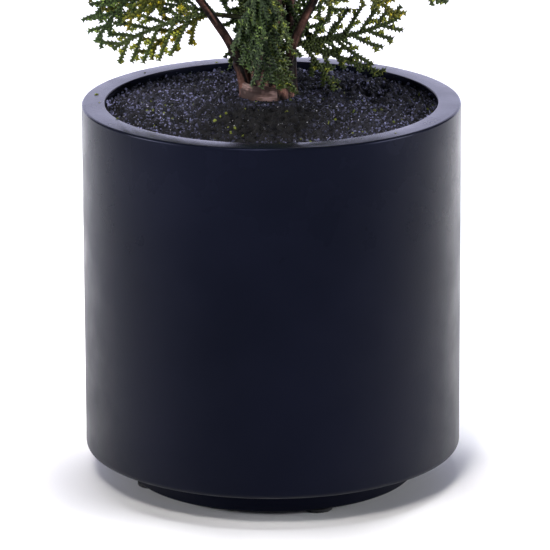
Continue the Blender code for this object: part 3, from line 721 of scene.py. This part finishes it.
def blade(root, ahead, side, length, reach, droop, grow=0.0):
    # a spray's outline as a coarse toothed blade with alternate lobes, to test for room
    spacing = (length - 0.004) / 3
    ribs, ways = [root + ahead * 0.004], [ahead]
    for _ in range(3):
        ways.append((ways[-1] + Vector((0, 0, -droop / 3))).normalized())
        ribs.append(ribs[-1] + ways[-1] * spacing)
    vertices, across, faces = [root - ahead * grow, ribs[-1] + ways[-1] * grow], [], []
    for number in range(3):
        across.append((side - ways[number] * side.dot(ways[number])).normalized())
        half = 0.0016 * (1 - 0.4 * number / 3) + grow
        up = ways[number].cross(across[number])
        vertices += [ribs[number] + up * half, ribs[number] - up * half]
    for hand, footAt, notchAt in ((1, 0.3, 0.85), (-1, 0.7, 1.05)):
        notch = 0
        for number in range(3):
            out = across[number] * hand
            rib = ribs[number + 1] - ribs[number]
            longest = reach * between(((0.0, 0.70), (0.3, 1.0), (1.0, 0.35)), (number + footAt) / 3) + grow
            slant = ways[number] * math.cos(math.radians(50)) + out * math.sin(math.radians(50))
            tip, lastNotch, notch = len(vertices), notch, 1
            vertices.append(ribs[number] + rib * footAt + slant * longest)
            if number < 2:
                notch = len(vertices)
                vertices.append(ribs[number] + rib * notchAt + out * (reach * 0.12 + grow))
            for ridge in (2, 3):
                foot = ridge + 2 * number
                faces += [(foot, lastNotch, tip), (foot, tip, notch)]
                if number < 2:
                    faces.append((foot, notch, foot + 2))
    return vertices, faces


def tubeShape(points, radii, grow=0.0, first=None):
    # a three-sided stem or twig, to test for room
    vertices, faces = [], [(2, 1, 0)]
    ahead = first or (points[1] - points[0]).normalized()
    side = ahead.orthogonal().normalized()
    for index, point in enumerate(points):
        way = (points[min(index + 1, len(points) - 1)] - points[max(index - 1, 0)]).normalized()
        way = first if first and index == 0 else way
        side, ahead = ahead.rotation_difference(way) @ side, way
        radius = radii[0] + (radii[1] - radii[0]) * index / (len(points) - 1) + grow
        vertices += [point + Matrix.Rotation(2 * math.pi * corner / 3, 3, ahead) @ side * radius
                     for corner in range(3)]
    for start in range(0, len(vertices) - 3, 3):
        for corner in range(3):
            a, b = start + corner, start + (corner + 1) % 3
            faces.append((a, b, b + 3, a + 3))
    faces.append(tuple(range(len(vertices) - 3, len(vertices))))
    return vertices, faces


def growCrown(boughs):
    # the seeded rule of the solids: a mass's stem, its twigs, and the longest sprays that find room on them
    rows = massRows(boughs)
    dice = random.Random(growth["seed"])
    axes = []
    for row in rows:
        axis = [pointOn(row["points"], share / 6)[0] for share in range(1, 7)]
        ahead = pointOn(row["points"], 1)[1]
        axes.append(axis + [axis[-1] + ahead * further for further in (0.03, 0.06, 0.09)])
    axisPoints = np.array(axes)
    solids = []

    def ballAndTree(shape):
        centre = sum(shape[0], Vector()) / len(shape[0])
        return centre, max((vertex - centre).length for vertex in shape[0]), BVHTree.FromPolygons(*shape)

    def add(shape, owner):
        solids.append((*ballAndTree(shape), owner))

    def touches(shape, spared):
        centre, radius, tree = ballAndTree(shape)
        return any(owner not in spared and (centre - other).length < radius + reach
                   and tree.overlap(otherTree)
                   for other, reach, otherTree, owner in solids)

    def inOwnSpace(points, mine, margin):
        places = np.array(points)
        if (np.hypot(places[:, 0], places[:, 1]) > [crownRadius(z) for z in places[:, 2]]).any():
            return False
        if places[:, 2].max() > cadBox[1].z + (growth["overTop"] if margin > 0 else 0):
            return False
        nearest = np.linalg.norm(places[:, None, None] - axisPoints[None], axis=3).min(axis=2)
        own = nearest[:, mine].copy()
        nearest[:, mine] = np.inf
        return bool((nearest.min(axis=1) >= own + margin).all())

    def waysOut(ahead, out, spread):
        lean = math.radians(spread)
        for attempt in range(growth["tries"]):
            aside = (attempt + 1) // 2 * (growth["tryTurn"] if attempt % 2 else -growth["tryTurn"])
            aside = Matrix.Rotation(math.radians(aside), 3, ahead) @ out
            way = ahead * math.cos(lean) + aside * math.sin(lean) - Vector((0, 0, growth["sag"]))
            yield way.normalized()

    def tiltedSide(ahead, tilt):
        side = ahead.cross(Vector((0, 0, 1)))
        side = side if side.length > 0.01 else Vector((1, 0, 0))
        return Matrix.Rotation(math.radians(tilt), 3, ahead) @ side.normalized()

    def placeSpray(mine, place, ways, tilt, droop, lengths, spared, margin):
        for ahead in ways:
            for length in lengths:
                if length > rows[mine]["longest"]:
                    continue
                size = (place, ahead, tiltedSide(ahead, tilt), length, length * growth["reachShare"], droop)
                trial = blade(*size, grow=0.001)
                if inOwnSpace(trial[0][1:], mine, margin) and not touches(trial, spared):
                    add(blade(*size), ("spray", mine))
                    return [size]
        return []

    for node in ("pot", "soil", "trunk", *boughNodes):
        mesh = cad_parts[node].data
        add(([vertex.co.copy() for vertex in mesh.vertices],
             [tuple(face.vertices) for face in mesh.polygons]), "limb")
    sprays, twigs, limbs = [], [], {}
    for mine in sorted(range(len(rows)), key=lambda index: not rows[index]["posed"]):
        row = rows[mine]
        add(tubeShape(row["points"], growth["stemRadii"], first=row["first"]), ("wood", mine))
        for number, (share, azimuth, elevation, tilt, length, reach, droop) in enumerate(row["posed"]):
            ahead = heading(azimuth, elevation)
            root = pointOn(row["points"], share)[0] - ahead * growth["sunk"]
            size = (root, ahead, tiltedSide(ahead, tilt), length, reach, droop)
            add(blade(*size), ("spray", mine))
            sprays.append((size, row["shades"][number]))
        wood = [(row["points"], row["stemSprays"], goldenTurn)]
        for number in range(row["twigs"]):
            share = (growth["twigFrom"]
                     + (growth["twigTo"] - growth["twigFrom"]) * number / max(row["twigs"] - 1, 1))
            place, ahead = pointOn(row["points"], share)
            roll = row["roll"] + number * goldenTurn
            out = Matrix.Rotation(math.radians(roll), 3, ahead) @ ahead.orthogonal().normalized()
            half = row["twigLength"] * (1.1 - 0.5 * share) / 2
            for way in waysOut(ahead, out, growth["twigSpread"]):
                bent = (way - Vector((0, 0, growth["twigDroop"]))).normalized()
                points = [place, place + way * half, place + (way + bent) * half]
                trial = tubeShape(points, growth["twigRadii"], grow=0.001)
                if inOwnSpace(trial[0][1:], mine, growth["margin"]) and not touches(trial, (("wood", mine),)):
                    add(tubeShape(points, growth["twigRadii"]), ("wood", mine))
                    wood.append((points, row["twigSprays"], 180))
                    twigs.append(points)
                    break
        for points, count, turning in wood:
            roll = dice.uniform(0, 360)
            for number in range(count):
                place, ahead = pointOn(points, 1 - number / (count + 0.4))
                out = Matrix.Rotation(math.radians(roll + number * turning), 3, ahead)
                out = out @ ahead.orthogonal().normalized()
                spread = dice.uniform(*growth["spread"]) if number else 0
                tilt, droop = dice.uniform(-growth["tilt"], growth["tilt"]), dice.uniform(*growth["droop"])
                start = place - ahead * (0 if number else growth["sunk"])
                for size in placeSpray(mine, start, waysOut(ahead, out, spread), tilt, droop,
                                       growth["lengths"], (("wood", mine),), growth["margin"]):
                    sprays.append((size, None))
        limbs[mine] = [(points, count) for points, count, _ in wood]

    # finer growth between those sprays: it keeps to the same space and clear of limbs, and may cross a spray
    dice = random.Random(growth["fineSeed"])
    spared = [("spray", mine) for mine in range(len(rows))] + [("wood", mine) for mine in range(len(rows))]
    for mine, row in enumerate(rows):
        for number, (share, azimuth, elevation, tilt, length, reach, droop) in enumerate(row["fine"]):
            ahead = heading(azimuth, elevation)
            size = (pointOn(row["points"], share)[0], ahead, tiltedSide(ahead, tilt), length, reach, droop)
            if touches(blade(*size), spared):
                print("left out fine spray", number, "of", row["name"])
            else:
                sprays.append((size, row["shades"][len(row["posed"]) + number]))
        for points, count in limbs[mine]:
            for number in range(round(count * growth["fineShare"])):
                place, ahead = pointOn(points, dice.uniform(0.05, 1.0))
                out = (Matrix.Rotation(dice.uniform(0, 2 * math.pi), 3, ahead)
                       @ ahead.orthogonal().normalized())
                tilt, droop = dice.uniform(-growth["tilt"], growth["tilt"]), dice.uniform(*growth["droop"])
                for size in placeSpray(mine, place, waysOut(ahead, out, dice.uniform(*growth["fineSpread"])),
                                       tilt, droop, growth["fineLengths"], spared, growth["fineMargin"]):
                    sprays.append((size, None))
    return rows, twigs, sprays


boughs = boughPaths()
massList, twigList, sprayList = growCrown(boughs)
print("grown", len(massList), "masses", len(twigList), "twigs", len(sprayList), "sprays")


# wood: trunk, boughs and twigs as tubes along their paths, with the moulded bark's relief

wood = dict(
    trunkSides=64, trunkRing=0.0030, boughSides=24, boughRing=0.0028, twigSides=8, twigRing=0.007,
    waist=((0.000, 0.0272), (0.007, 0.0255), (0.011, 0.0215), (0.015, 0.0180),
           (0.022, 0.0160), (0.032, 0.0148)),
    stools={  # thick lower parts, where low boughs leave the bundle: radii, and how far out the foot stands
        "left": dict(radii=(0.0078, 0.0060), out=0.0, reach=4),
        "right": dict(radii=(0.0105, 0.0062), out=0.0, reach=4),
        "back_left": dict(radii=(0.0060, 0.0048), out=-0.006, reach=8),
        "back_right": dict(radii=(0.0060, 0.0044), out=0.014, reach=8),
    },
    fluteDepth=0.34, fluteWidth=2.0, boughShare=0.88, wrapPitch=0.0105, wrapDepth=0.00035, barkLift=1.1,
    finishes=(  # name, then dark, middle and pale tones, and roughness
        ("moulded bark", "#070303", "#20110f", "#7d584e", 0.62),
        ("moulded twig", "#1d2013", "#2a2b16", "#2e1d18", 0.6)),
    furrow=4.0, patch=12, worn=0.72, wrinkle=2.4,  # all but worn in millimetres
)


def woodFinish(row, name, dark, mid, pale, roughness):
    # moulded polyethylene bark: brown with dark furrows and worn, paler ridges along the limb, nearly matt
    finish, tree, shader, _ = startMaterial(name, Roughness=roughness, IOR=1.22)
    place = addNode(tree, "ShaderNodeAttribute", out="Vector", attribute_name="grainPlace")
    fibre, crosswise = (addNode(tree, "ShaderNodeMapping", {"Vector": place, "Scale": stretch})
                        for stretch in ((1.0, 1.0, 0.12), (0.5, 0.5, 1.0)))
    furrow = noiseAt(tree, fibre, row["furrow"], detail=5.0, from_=(0.43, 0.58))
    worn = noiseAt(tree, place, row["patch"], detail=3.0, from_=(0.42, 0.6))
    ground = mixColours(tree, furrow, dark, mid)
    for other in (furrow, row["worn"]):
        worn = addNode(tree, "ShaderNodeMath", {0: worn, 1: other}, operation="MULTIPLY")
    tree.links.new(mixColours(tree, worn, ground, pale), shader.inputs["Base Color"])
    wrinkle = noiseAt(tree, crosswise, row["wrinkle"], detail=3.0)
    both = addNode(tree, "ShaderNodeMath", {0: furrow, 1: wrinkle}, operation="ADD")
    addBump(tree, shader, both, row["barkLift"])
    return finish


def limbTree():
    # a tube along each path, as thick as the path says, with flutes along it and turns of wrapping round it
    tree, given = geometryTree("limbs", {
        "Sides": ("Int", 12), "Ring spacing": ("Float", 0.003), "Flute depth": ("Float", 0.08),
        "Flute width": ("Float", 1.0), "Wrap pitch": ("Float", 0.01), "Wrap depth": ("Float", 0.0003),
        "Finish": ("Material", None)})
    line = addNode(tree, "GeometryNodeMeshToCurve", {"Mesh": given["Geometry"]})
    line = addNode(tree, "GeometryNodeCurveSplineType", {"Curve": line}, spline_type="CATMULL_ROM")
    line = addNode(tree, "GeometryNodeResampleCurve", {"Curve": line, "Length": given["Ring spacing"]},
                   mode="LENGTH")
    thick = addNode(tree, "GeometryNodeInputNamedAttribute", {"Name": "thickness"}, data_type="FLOAT")
    along, around = (addNode(tree, "GeometryNodeSplineParameter", out=out) for out in ("Length", "Factor"))
    line = addNode(tree, "GeometryNodeStoreNamedAttribute",
                   {"Geometry": line, "Name": "along", "Value": along},
                   data_type="FLOAT", domain="POINT")
    ring = addNode(tree, "GeometryNodeCurvePrimitiveCircle", {"Resolution": given["Sides"], "Radius": 1.0})
    ring = addNode(tree, "GeometryNodeStoreNamedAttribute",
                   {"Geometry": ring, "Name": "around", "Value": around},
                   data_type="FLOAT", domain="POINT")
    skin = addNode(tree, "GeometryNodeCurveToMesh", {"Curve": line, "Profile Curve": ring, "Scale": thick,
                                                     "Fill Caps": True})
    named = {name: addNode(tree, "GeometryNodeInputNamedAttribute", {"Name": name}, data_type="FLOAT")
             for name in ("along", "around", "thickness")}
    angle = addNode(tree, "ShaderNodeMath", {0: named["around"], 1: 2 * math.pi}, operation="MULTIPLY")
    flat = []
    for operation in ("COSINE", "SINE"):
        wave = addNode(tree, "ShaderNodeMath", {0: angle}, operation=operation)
        flat.append(addNode(tree, "ShaderNodeMath", {0: wave, 1: named["thickness"]}, operation="MULTIPLY"))
    place = addNode(tree, "ShaderNodeCombineXYZ", {0: flat[0], 1: flat[1], 2: named["along"]})
    skin = addNode(tree, "GeometryNodeStoreNamedAttribute",
                   {"Geometry": skin, "Name": "grainPlace", "Value": place},
                   data_type="FLOAT_VECTOR", domain="POINT")
    reach = addNode(tree, "ShaderNodeMath", {0: given["Flute width"], 1: named["thickness"]},
                    operation="DIVIDE")
    unit = addNode(tree, "ShaderNodeVectorMath", {0: place, "Scale": reach}, operation="SCALE")
    unit = addNode(tree, "ShaderNodeVectorMath", {0: unit, 1: (1.0, 1.0, 0.10)}, operation="MULTIPLY")
    flute = addNode(tree, "ShaderNodeTexNoise", {"Vector": unit, "Scale": 1.6, "Detail": 2.0},
                    out="Fac")
    for operation, other in (("ADD", -0.5), ("MULTIPLY", given["Flute depth"]),
                             ("MULTIPLY", named["thickness"])):
        flute = addNode(tree, "ShaderNodeMath", {0: flute, 1: other}, operation=operation)
    lap = named["along"]
    for operation, other in (("DIVIDE", given["Wrap pitch"]), ("ADD", named["around"]), ("FRACT", 0.0),
                             ("MULTIPLY", given["Wrap depth"])):
        lap = addNode(tree, "ShaderNodeMath", {0: lap, 1: other}, operation=operation)
    rise = addNode(tree, "ShaderNodeMath", {0: flute, 1: lap}, operation="ADD")
    normal = addNode(tree, "GeometryNodeInputNormal")
    offset = addNode(tree, "ShaderNodeVectorMath", {0: normal, "Scale": rise}, operation="SCALE")
    skin = addNode(tree, "GeometryNodeSetPosition", {"Geometry": skin, "Offset": offset})
    skin = addNode(tree, "GeometryNodeSetShadeSmooth", {"Geometry": skin})
    endTree(tree, skin, given["Finish"])
    return tree


def pathMesh(name, rows):
    # loose edges along each path, with the limb's radius at each point
    vertices, edges, thickness = [], [], []
    for points, radii in rows:
        first = len(vertices)
        vertices += [tuple(point) for point in points]
        edges += [(first + step, first + step + 1) for step in range(len(points) - 1)]
        thickness += list(radii if len(radii) == len(points) else np.linspace(*radii, len(points)))
    mesh = bpy.data.meshes.new(name)
    mesh.from_pydata(vertices, edges, [])
    mesh.attributes.new("thickness", "FLOAT", "POINT").data.foreach_set("value", thickness)
    return mesh


def makeWood(row):
    tree = limbTree()
    bark, green = (woodFinish(row, *given) for given in row["finishes"])
    heights = [0.0, 0.004, 0.008, 0.012, 0.016, 0.020, 0.024, 0.028, 0.034, 0.040]
    heights += list(np.linspace(0.05, growth["height"], 90))
    shape = row["waist"] + growth["trunk"][5:]
    trunk = [([trunkCentre(height) for height in heights], [between(shape, height) for height in heights])]
    limbs = [(points, np.multiply(radii, row["boughShare"])) for points, radii in boughs.values()]
    for side, stool in row["stools"].items():
        points = [trunkCentre(0) + Vector((*growth["lowBoughs"][side]["offset"], -0.002)),
                  *boughs["bough_low_" + side][0][:stool["reach"] - 1]]
        shares = [1 - number / (len(points) - 1) for number in range(len(points))]
        points = [point + Vector((stool["out"] * share ** 0.5, 0, 0)) for point, share in zip(points, shares)]
        limbs.append((points, np.linspace(*stool["radii"], len(points))))
    twigs = [(mass["points"], growth["stemRadii"]) for mass in massList]
    twigs += [(points, growth["twigRadii"]) for points in twigList]
    for name, rows, sides, ring, depth, wrap, coat, replaced in (
            ("trunkBark", trunk, row["trunkSides"], row["trunkRing"], row["fluteDepth"], row["wrapDepth"],
             bark, ["trunk"]),
            ("boughBark", limbs, row["boughSides"], row["boughRing"], row["fluteDepth"],
             row["wrapDepth"] / 3, bark, boughNodes),
            ("twigs", twigs, row["twigSides"], row["twigRing"], row["fluteDepth"], 0.0, green, [])):
        piece = runTree(name, pathMesh(name, rows), tree, {
            "Sides": sides, "Ring spacing": ring, "Flute depth": depth, "Flute width": row["fluteWidth"],
            "Wrap pitch": row["wrapPitch"], "Wrap depth": wrap, "Finish": coat})
        dress(piece, "foliage" if name == "twigs" else "bark", *replaced)


makeWood(wood)

footWrap = dict(height=0.0142, proud=0.0006, thick=0.0014, sides=70, rings=10, ragged=0.0012,
                start=-112, end=22, pale="#8a716d", mid="#503c38", dark="#2c1d1b", roughness=0.7,
                streak=1.2, patch=12, crease=0.0003, creasePitch=0.0011, sunk=0.002)


def makeFootWrap(row):
    # a band of crepe tape round the trunk's foot: pale brown, streaked along its length, with a torn top edge
    finish, tree, shader, place = startMaterial("crepe tape", Roughness=row["roughness"], IOR=1.3)
    streak = addNode(tree, "ShaderNodeMapping", {"Vector": place, "Scale": (0.12, 0.12, 1.0)})
    line = noiseAt(tree, streak, row["streak"], detail=3.0, from_=(0.42, 0.58))
    patch = noiseAt(tree, place, row["patch"], detail=3.0, from_=(0.4, 0.55))
    ground = mixColours(tree, line, row["mid"], row["pale"])
    tree.links.new(mixColours(tree, patch, row["dark"], ground), shader.inputs["Base Color"])
    addBump(tree, shader, line, 0.3)
    ragged = waves(5, 0.5, 2.2, 31)
    vertices, faces = [], []
    columns, rings = row["sides"] + 1, row["rings"] + 1
    for ring in range(rings):
        for column in range(columns):
            azimuth = math.radians(row["start"] + (row["end"] - row["start"]) * column / row["sides"])
            way = Vector((math.sin(azimuth), -math.cos(azimuth), 0))
            top = row["height"] + float(ragged(way.x, way.y)) * row["ragged"]
            height = -row["sunk"] + (top + row["sunk"]) * ring / row["rings"]
            crease = row["crease"] * math.sin(height / row["creasePitch"] + math.sin(azimuth * 3) * 2)
            reach = between(growth["trunk"], max(height, 0)) + row["proud"] + crease
            centre = trunkCentre(max(height, 0))
            centre.z = growth["ground"] + height
            vertices += [centre + way * reach, centre + way * (reach - row["thick"])]
    for ring in range(rings - 1):
        for column in range(columns - 1):
            a, b = 2 * (ring * columns + column), 2 * (ring * columns + column + 1)
            up = 2 * columns
            faces += [(a, b, b + up, a + up), (a + 1, a + 1 + up, b + 1 + up, b + 1)]
    for column in range(columns - 1):
        a, top = 2 * column, 2 * (rings - 1) * columns
        faces += [(a, a + 1, a + 3, a + 2), (top + a, top + a + 2, top + a + 3, top + a + 1)]
    for ring in range(rings - 1):
        a, up = 2 * ring * columns, 2 * columns
        b = a + up - 2
        faces += [(a, a + up, a + up + 1, a + 1), (b, b + 1, b + up + 1, b + up)]
    dress(addPiece("footTape", vertices, faces, finish), "bark")


makeFootWrap(footWrap)
print("wood ready")


# sprays: each coarse blade of the solids becomes a flat frond of scale-clad twigs, in about the same outline

frond = dict(
    branchGap=0.0172, firstBranch=0.10, angle=(56, 40), hangingAngle=(36, 26), curl=12,
    envelope=((0.0, 0.75), (0.3, 1.0), (1.0, 0.38)),
    steps=(0.009, 0.008, 0.010),  # of rachis, branch and lobe
    lobeGap=0.0112, lobeFrom=0.36, lobeLength=(0.0085, 0.0145), lobeAngle=46,
    hangingLobe=30, hangingBelow=-0.8,
    widths=(0.0020, 0.0017, 0.0019), coreStep=0.010, bendSteps=24, pieceLimit=190000,
    thickness=0.0009, toothGap=0.0038, toothOut=0.0019, variants=3, cup=2.2, seed=41,
    roughness=dict(Core=0.55, Scales=0.48, Tips=0.42),
    shares=dict(gold=0.26, olive=0.32, green=0.30, blue=0.12),
)
tints = dict(  # two close tones each for the cores, the scales on rachis and branches, and those on lobes
    gold=dict(Core=("#22270f", "#2e3312"), Scales=("#6b681c", "#50561c"), Tips=("#c8b21d", "#989022")),
    olive=dict(Core=("#1a2211", "#252e14"), Scales=("#404c20", "#34411d"), Tips=("#8c912c", "#68732a")),
    green=dict(Core=("#121a0f", "#1a2616"), Scales=("#43562b", "#334423"), Tips=("#788d45", "#5a6e34")),
    blue=dict(Core=("#0f170e", "#18221a"), Scales=("#38482a", "#2a3822"), Tips=("#6a7648", "#4a5a36")),
)


def cladPath(points, rise, width, row, dice):
    # one scale-clad twig in the frond's plane: a flattened core and a pair of scales at each step along it
    points = np.asarray(points)
    steps = np.linalg.norm(np.diff(points, axis=0), axis=1)
    along = np.concatenate([[0], np.cumsum(steps)])
    length = along[-1]

    def at(s):
        return np.stack([np.interp(s, along, points[:, 0]), np.interp(s, along, points[:, 1])], axis=-1)

    def across(s):
        way = at(np.minimum(s + 0.0015, length)) - at(np.maximum(s - 0.0015, 0))
        way /= np.linalg.norm(way, axis=-1, keepdims=True)
        return np.stack([-way[..., 1], way[..., 0]], axis=-1)

    def lift(s):
        return rise * (s / length) ** 2

    count = max(2, int(round(length / row["coreStep"])) + 1)
    s = np.linspace(0, length * 0.93, count)
    centre, out, z = at(s), across(s), lift(s)
    flat = np.column_stack
    rails = np.stack([flat([centre + out * width, z - row["thickness"] / 2]),
                      flat([centre, z + row["thickness"]]),
                      flat([centre - out * width, z - row["thickness"] / 2])], axis=1)
    core = np.concatenate([rails.reshape(-1, 3), [[*at(np.array(length)), lift(length)]]])
    ring = np.arange(3)
    after = (ring + 1) % 3
    faces = []
    for step in range(count - 1):
        low, high = 3 * step, 3 * step + 3
        faces.append(np.column_stack([low + ring, low + after, high + after]))
        faces.append(np.column_stack([low + ring, high + after, high + ring]))
    last = 3 * (count - 1)
    faces.append(np.column_stack([last + ring, last + after, np.full(3, len(core) - 1)]))
    faces.append(np.array([[0, 2, 1]]))
    core = (core, np.concatenate(faces))

    gap, thick = row["toothGap"], row["thickness"]
    spots = np.arange(0, max(length - gap * 0.6, gap * 0.5), gap)
    shapes = []
    for hand in (1, -1):
        s = np.minimum(spots + (0 if hand > 0 else gap * 0.45), length * 0.95)
        ahead = np.minimum(s + gap * 1.15, length)
        tip = s + gap * 1.0
        over = np.maximum(tip - length, 0)[:, None]
        push = at(np.array(length)) - at(np.array(length - 0.002))
        push = push / np.linalg.norm(push)
        jitter = dice.uniform(-0.0006, 0.0006, len(s))
        rear = flat([at(s) + across(s) * hand * width * 0.12, lift(s)])
        front = at(ahead) + across(ahead) * hand * width * 0.08
        upper = flat([front, lift(ahead) + thick * 1.5])
        lower = flat([front, lift(ahead) - thick * 1.5])
        end = np.minimum(tip, length)
        reach = (width + row["toothOut"] * dice.uniform(0.8, 1.2, len(s)))[:, None]
        point = flat([at(end) + push * over + across(end) * hand * reach, lift(end) + jitter])
        shapes.append(np.stack([rear, upper, lower, point], axis=1))
    teeth = np.concatenate(shapes)
    a, b, c, d = (teeth[:, corner] for corner in range(4))
    turned = np.einsum("ij,ij->i", b - a, np.cross(c - a, d - a)) < 0
    teeth[turned, 1], teeth[turned, 2] = teeth[turned, 2].copy(), teeth[turned, 1].copy()
    base = 4 * np.arange(len(teeth))[:, None, None]
    teethFaces = (base + np.array([[0, 2, 1], [0, 1, 3], [1, 2, 3], [0, 3, 2]])).reshape(-1, 3)
    return core, (teeth.reshape(-1, 3), teethFaces)


def bentLine(start, angle, length, curl, step):
    # a line in the plane that leaves at an angle and curls by some degrees over its length
    count = max(2, int(math.ceil(length / step)))
    points = [np.array(start, float)]
    for number in range(count):
        way = math.radians(angle + curl * (number + 0.5) / count)
        points.append(points[-1] + np.array([math.cos(way), math.sin(way)]) * length / count)
    return points


def joined(parts):
    # several (vertices, faces) as one
    starts = np.cumsum([0] + [len(vertices) for vertices, _ in parts[:-1]])
    return (np.concatenate([vertices for vertices, _ in parts]),
            np.concatenate([faces + start for (_, faces), start in zip(parts, starts)]))


def drawFrond(length, reach, hanging, row, dice):
    # the rachis, alternate branches off it, and short lobes off those, all in the plane z = 0 with +X ahead
    lines = [(bentLine((0, 0), dice.uniform(-2, 2), length, dice.uniform(-5, 5), row["steps"][0]), 0.0, 0)]
    spine = np.asarray(lines[0][0])
    along = np.linspace(0, length, len(spine))
    start = row["firstBranch"] * length + 0.004
    number = 0
    wide, narrow = row["hangingAngle" if hanging else "angle"]
    lobeAngle = row["hangingLobe" if hanging else "lobeAngle"]
    while start < length * 0.96:
        share = start / length
        hand = 1 if number % 2 else -1
        foot = (np.interp(start, along, spine[:, 0]), np.interp(start, along, spine[:, 1]))
        size = reach * between(row["envelope"], share) * dice.uniform(0.86, 1.06)
        size = min(size, (length - start) * 1.15 + 0.012)
        angle = (wide + (narrow - wide) * share + dice.uniform(-5, 5)) * hand
        rise = dice.uniform(-0.10, 0.10) * size
        branch = bentLine(foot, angle, size, -row["curl"] * hand, row["steps"][1])
        lines.append((branch, rise, 1))
        branch = np.asarray(branch)
        place, side = size * row["lobeFrom"], hand
        while place < size - 0.004:
            lobe = dice.uniform(*row["lobeLength"]) * (1 - 0.5 * place / size) * min(1, size / 0.03)
            step = place / size * (len(branch) - 1)
            low = int(step)
            root = branch[low] + (branch[min(low + 1, len(branch) - 1)] - branch[low]) * (step - low)
            way = angle - row["curl"] * hand * place / size - side * lobeAngle
            level = rise * (place / size) ** 2
            lines.append((bentLine(root, way, lobe, side * 10, row["steps"][2]),
                          (level, dice.uniform(-0.0015, 0.0015)), 2))
            place += row["lobeGap"] * dice.uniform(0.85, 1.15)
            side = -side
        start += row["branchGap"] / 2 * dice.uniform(0.9, 1.1)
        number += 1
    cores, scales, tips = [], [], []
    for points, rise, kind in lines:
        level, rise = rise if kind == 2 else (0.0, rise)
        core, teeth = cladPath(points, rise, row["widths"][kind], row, dice)
        for shape, pile in ((core, cores), (teeth, tips if kind == 2 else scales)):
            shape[0][:, 2] += level
            pile.append(shape)
    return {part: joined(pile)
            for part, pile in (("Core", cores), ("Scales", scales), ("Tips", tips)) if pile}


def bendFrond(vertices, size, cup, row):
    # carries a flat frond onto its own bent rib in the crown
    root, ahead, side, length, _, droop = size
    steps = row["bendSteps"]
    places, ways = [np.array(root)], [ahead]
    for _ in range(steps):
        ways.append((ways[-1] + Vector((0, 0, -droop / steps))).normalized())
        places.append(places[-1] + np.array(ways[-1]) * length / steps)
    across = [(side - way * side.dot(way)).normalized() for way in ways]
    ups = np.array([way.cross(aside) for way, aside in zip(ways, across)])
    places, ways, across = np.array(places), np.array(ways), np.array(across)
    x = np.clip(vertices[:, 0], 0, length)
    position = x / length * steps
    low = np.minimum(position.astype(int), steps - 1)
    share = (position - low)[:, None]

    def carried(table):
        return table[low] * (1 - share) + table[low + 1] * share

    z = vertices[:, 2] - cup * vertices[:, 1] ** 2
    past = (vertices[:, 0] - x)[:, None]
    return (carried(places) + carried(ways) * past + carried(across) * vertices[:, 1:2]
            + carried(ups) * z[:, None])


def scaleFinish(name, first, second, roughness):
    # moulded polyethylene scales, a little waxy: two close tones, and a low sheen that picks out the tips
    finish, tree, shader, place = startMaterial(name, Roughness=roughness, IOR=1.30)
    tone = noiseAt(tree, place, 14, detail=2.0)
    tree.links.new(mixColours(tree, tone, first, second), shader.inputs["Base Color"])
    return finish


def makeSprays(row):
    dice = np.random.default_rng(row["seed"])
    tintDice = random.Random(row["seed"])
    library, piles = {}, {}
    for size, tint in sprayList:
        length, reach = round(size[3], 3), round(size[4], 3)
        variant = int(dice.integers(row["variants"]))
        key = (length, reach, size[1].z < row["hangingBelow"], variant)
        if key not in library:
            library[key] = drawFrond(*key[:3], row, dice)
        tint = tint or tintDice.choices(list(row["shares"]), list(row["shares"].values()))[0]
        cup = row["cup"] * dice.uniform(0.2, 1.4)
        for part, (vertices, faces) in library[key].items():
            piles.setdefault((tint, part), []).append((bendFrond(vertices, size, cup, row), faces))
    total = 0
    for (tint, part), shapes in sorted(piles.items()):
        finish = scaleFinish(f"{tint} moulded {part.lower()}", *tints[tint][part], row["roughness"][part])
        groups, size = [[]], 0
        for shape in shapes:
            if size + len(shape[1]) > row["pieceLimit"]:
                groups.append([])
                size = 0
            groups[-1].append(shape)
            size += len(shape[1])
        for number, group in enumerate(groups):
            piece = addPiece(f"{tint}{part}{number + 1}", *joined(group), finish, smooth=False)
            dress(piece, "foliage", *foliageNodes)
            total += len(piece.data.polygons)
    print("sprays", len(sprayList), "with", total, "triangles")


makeSprays(frond)
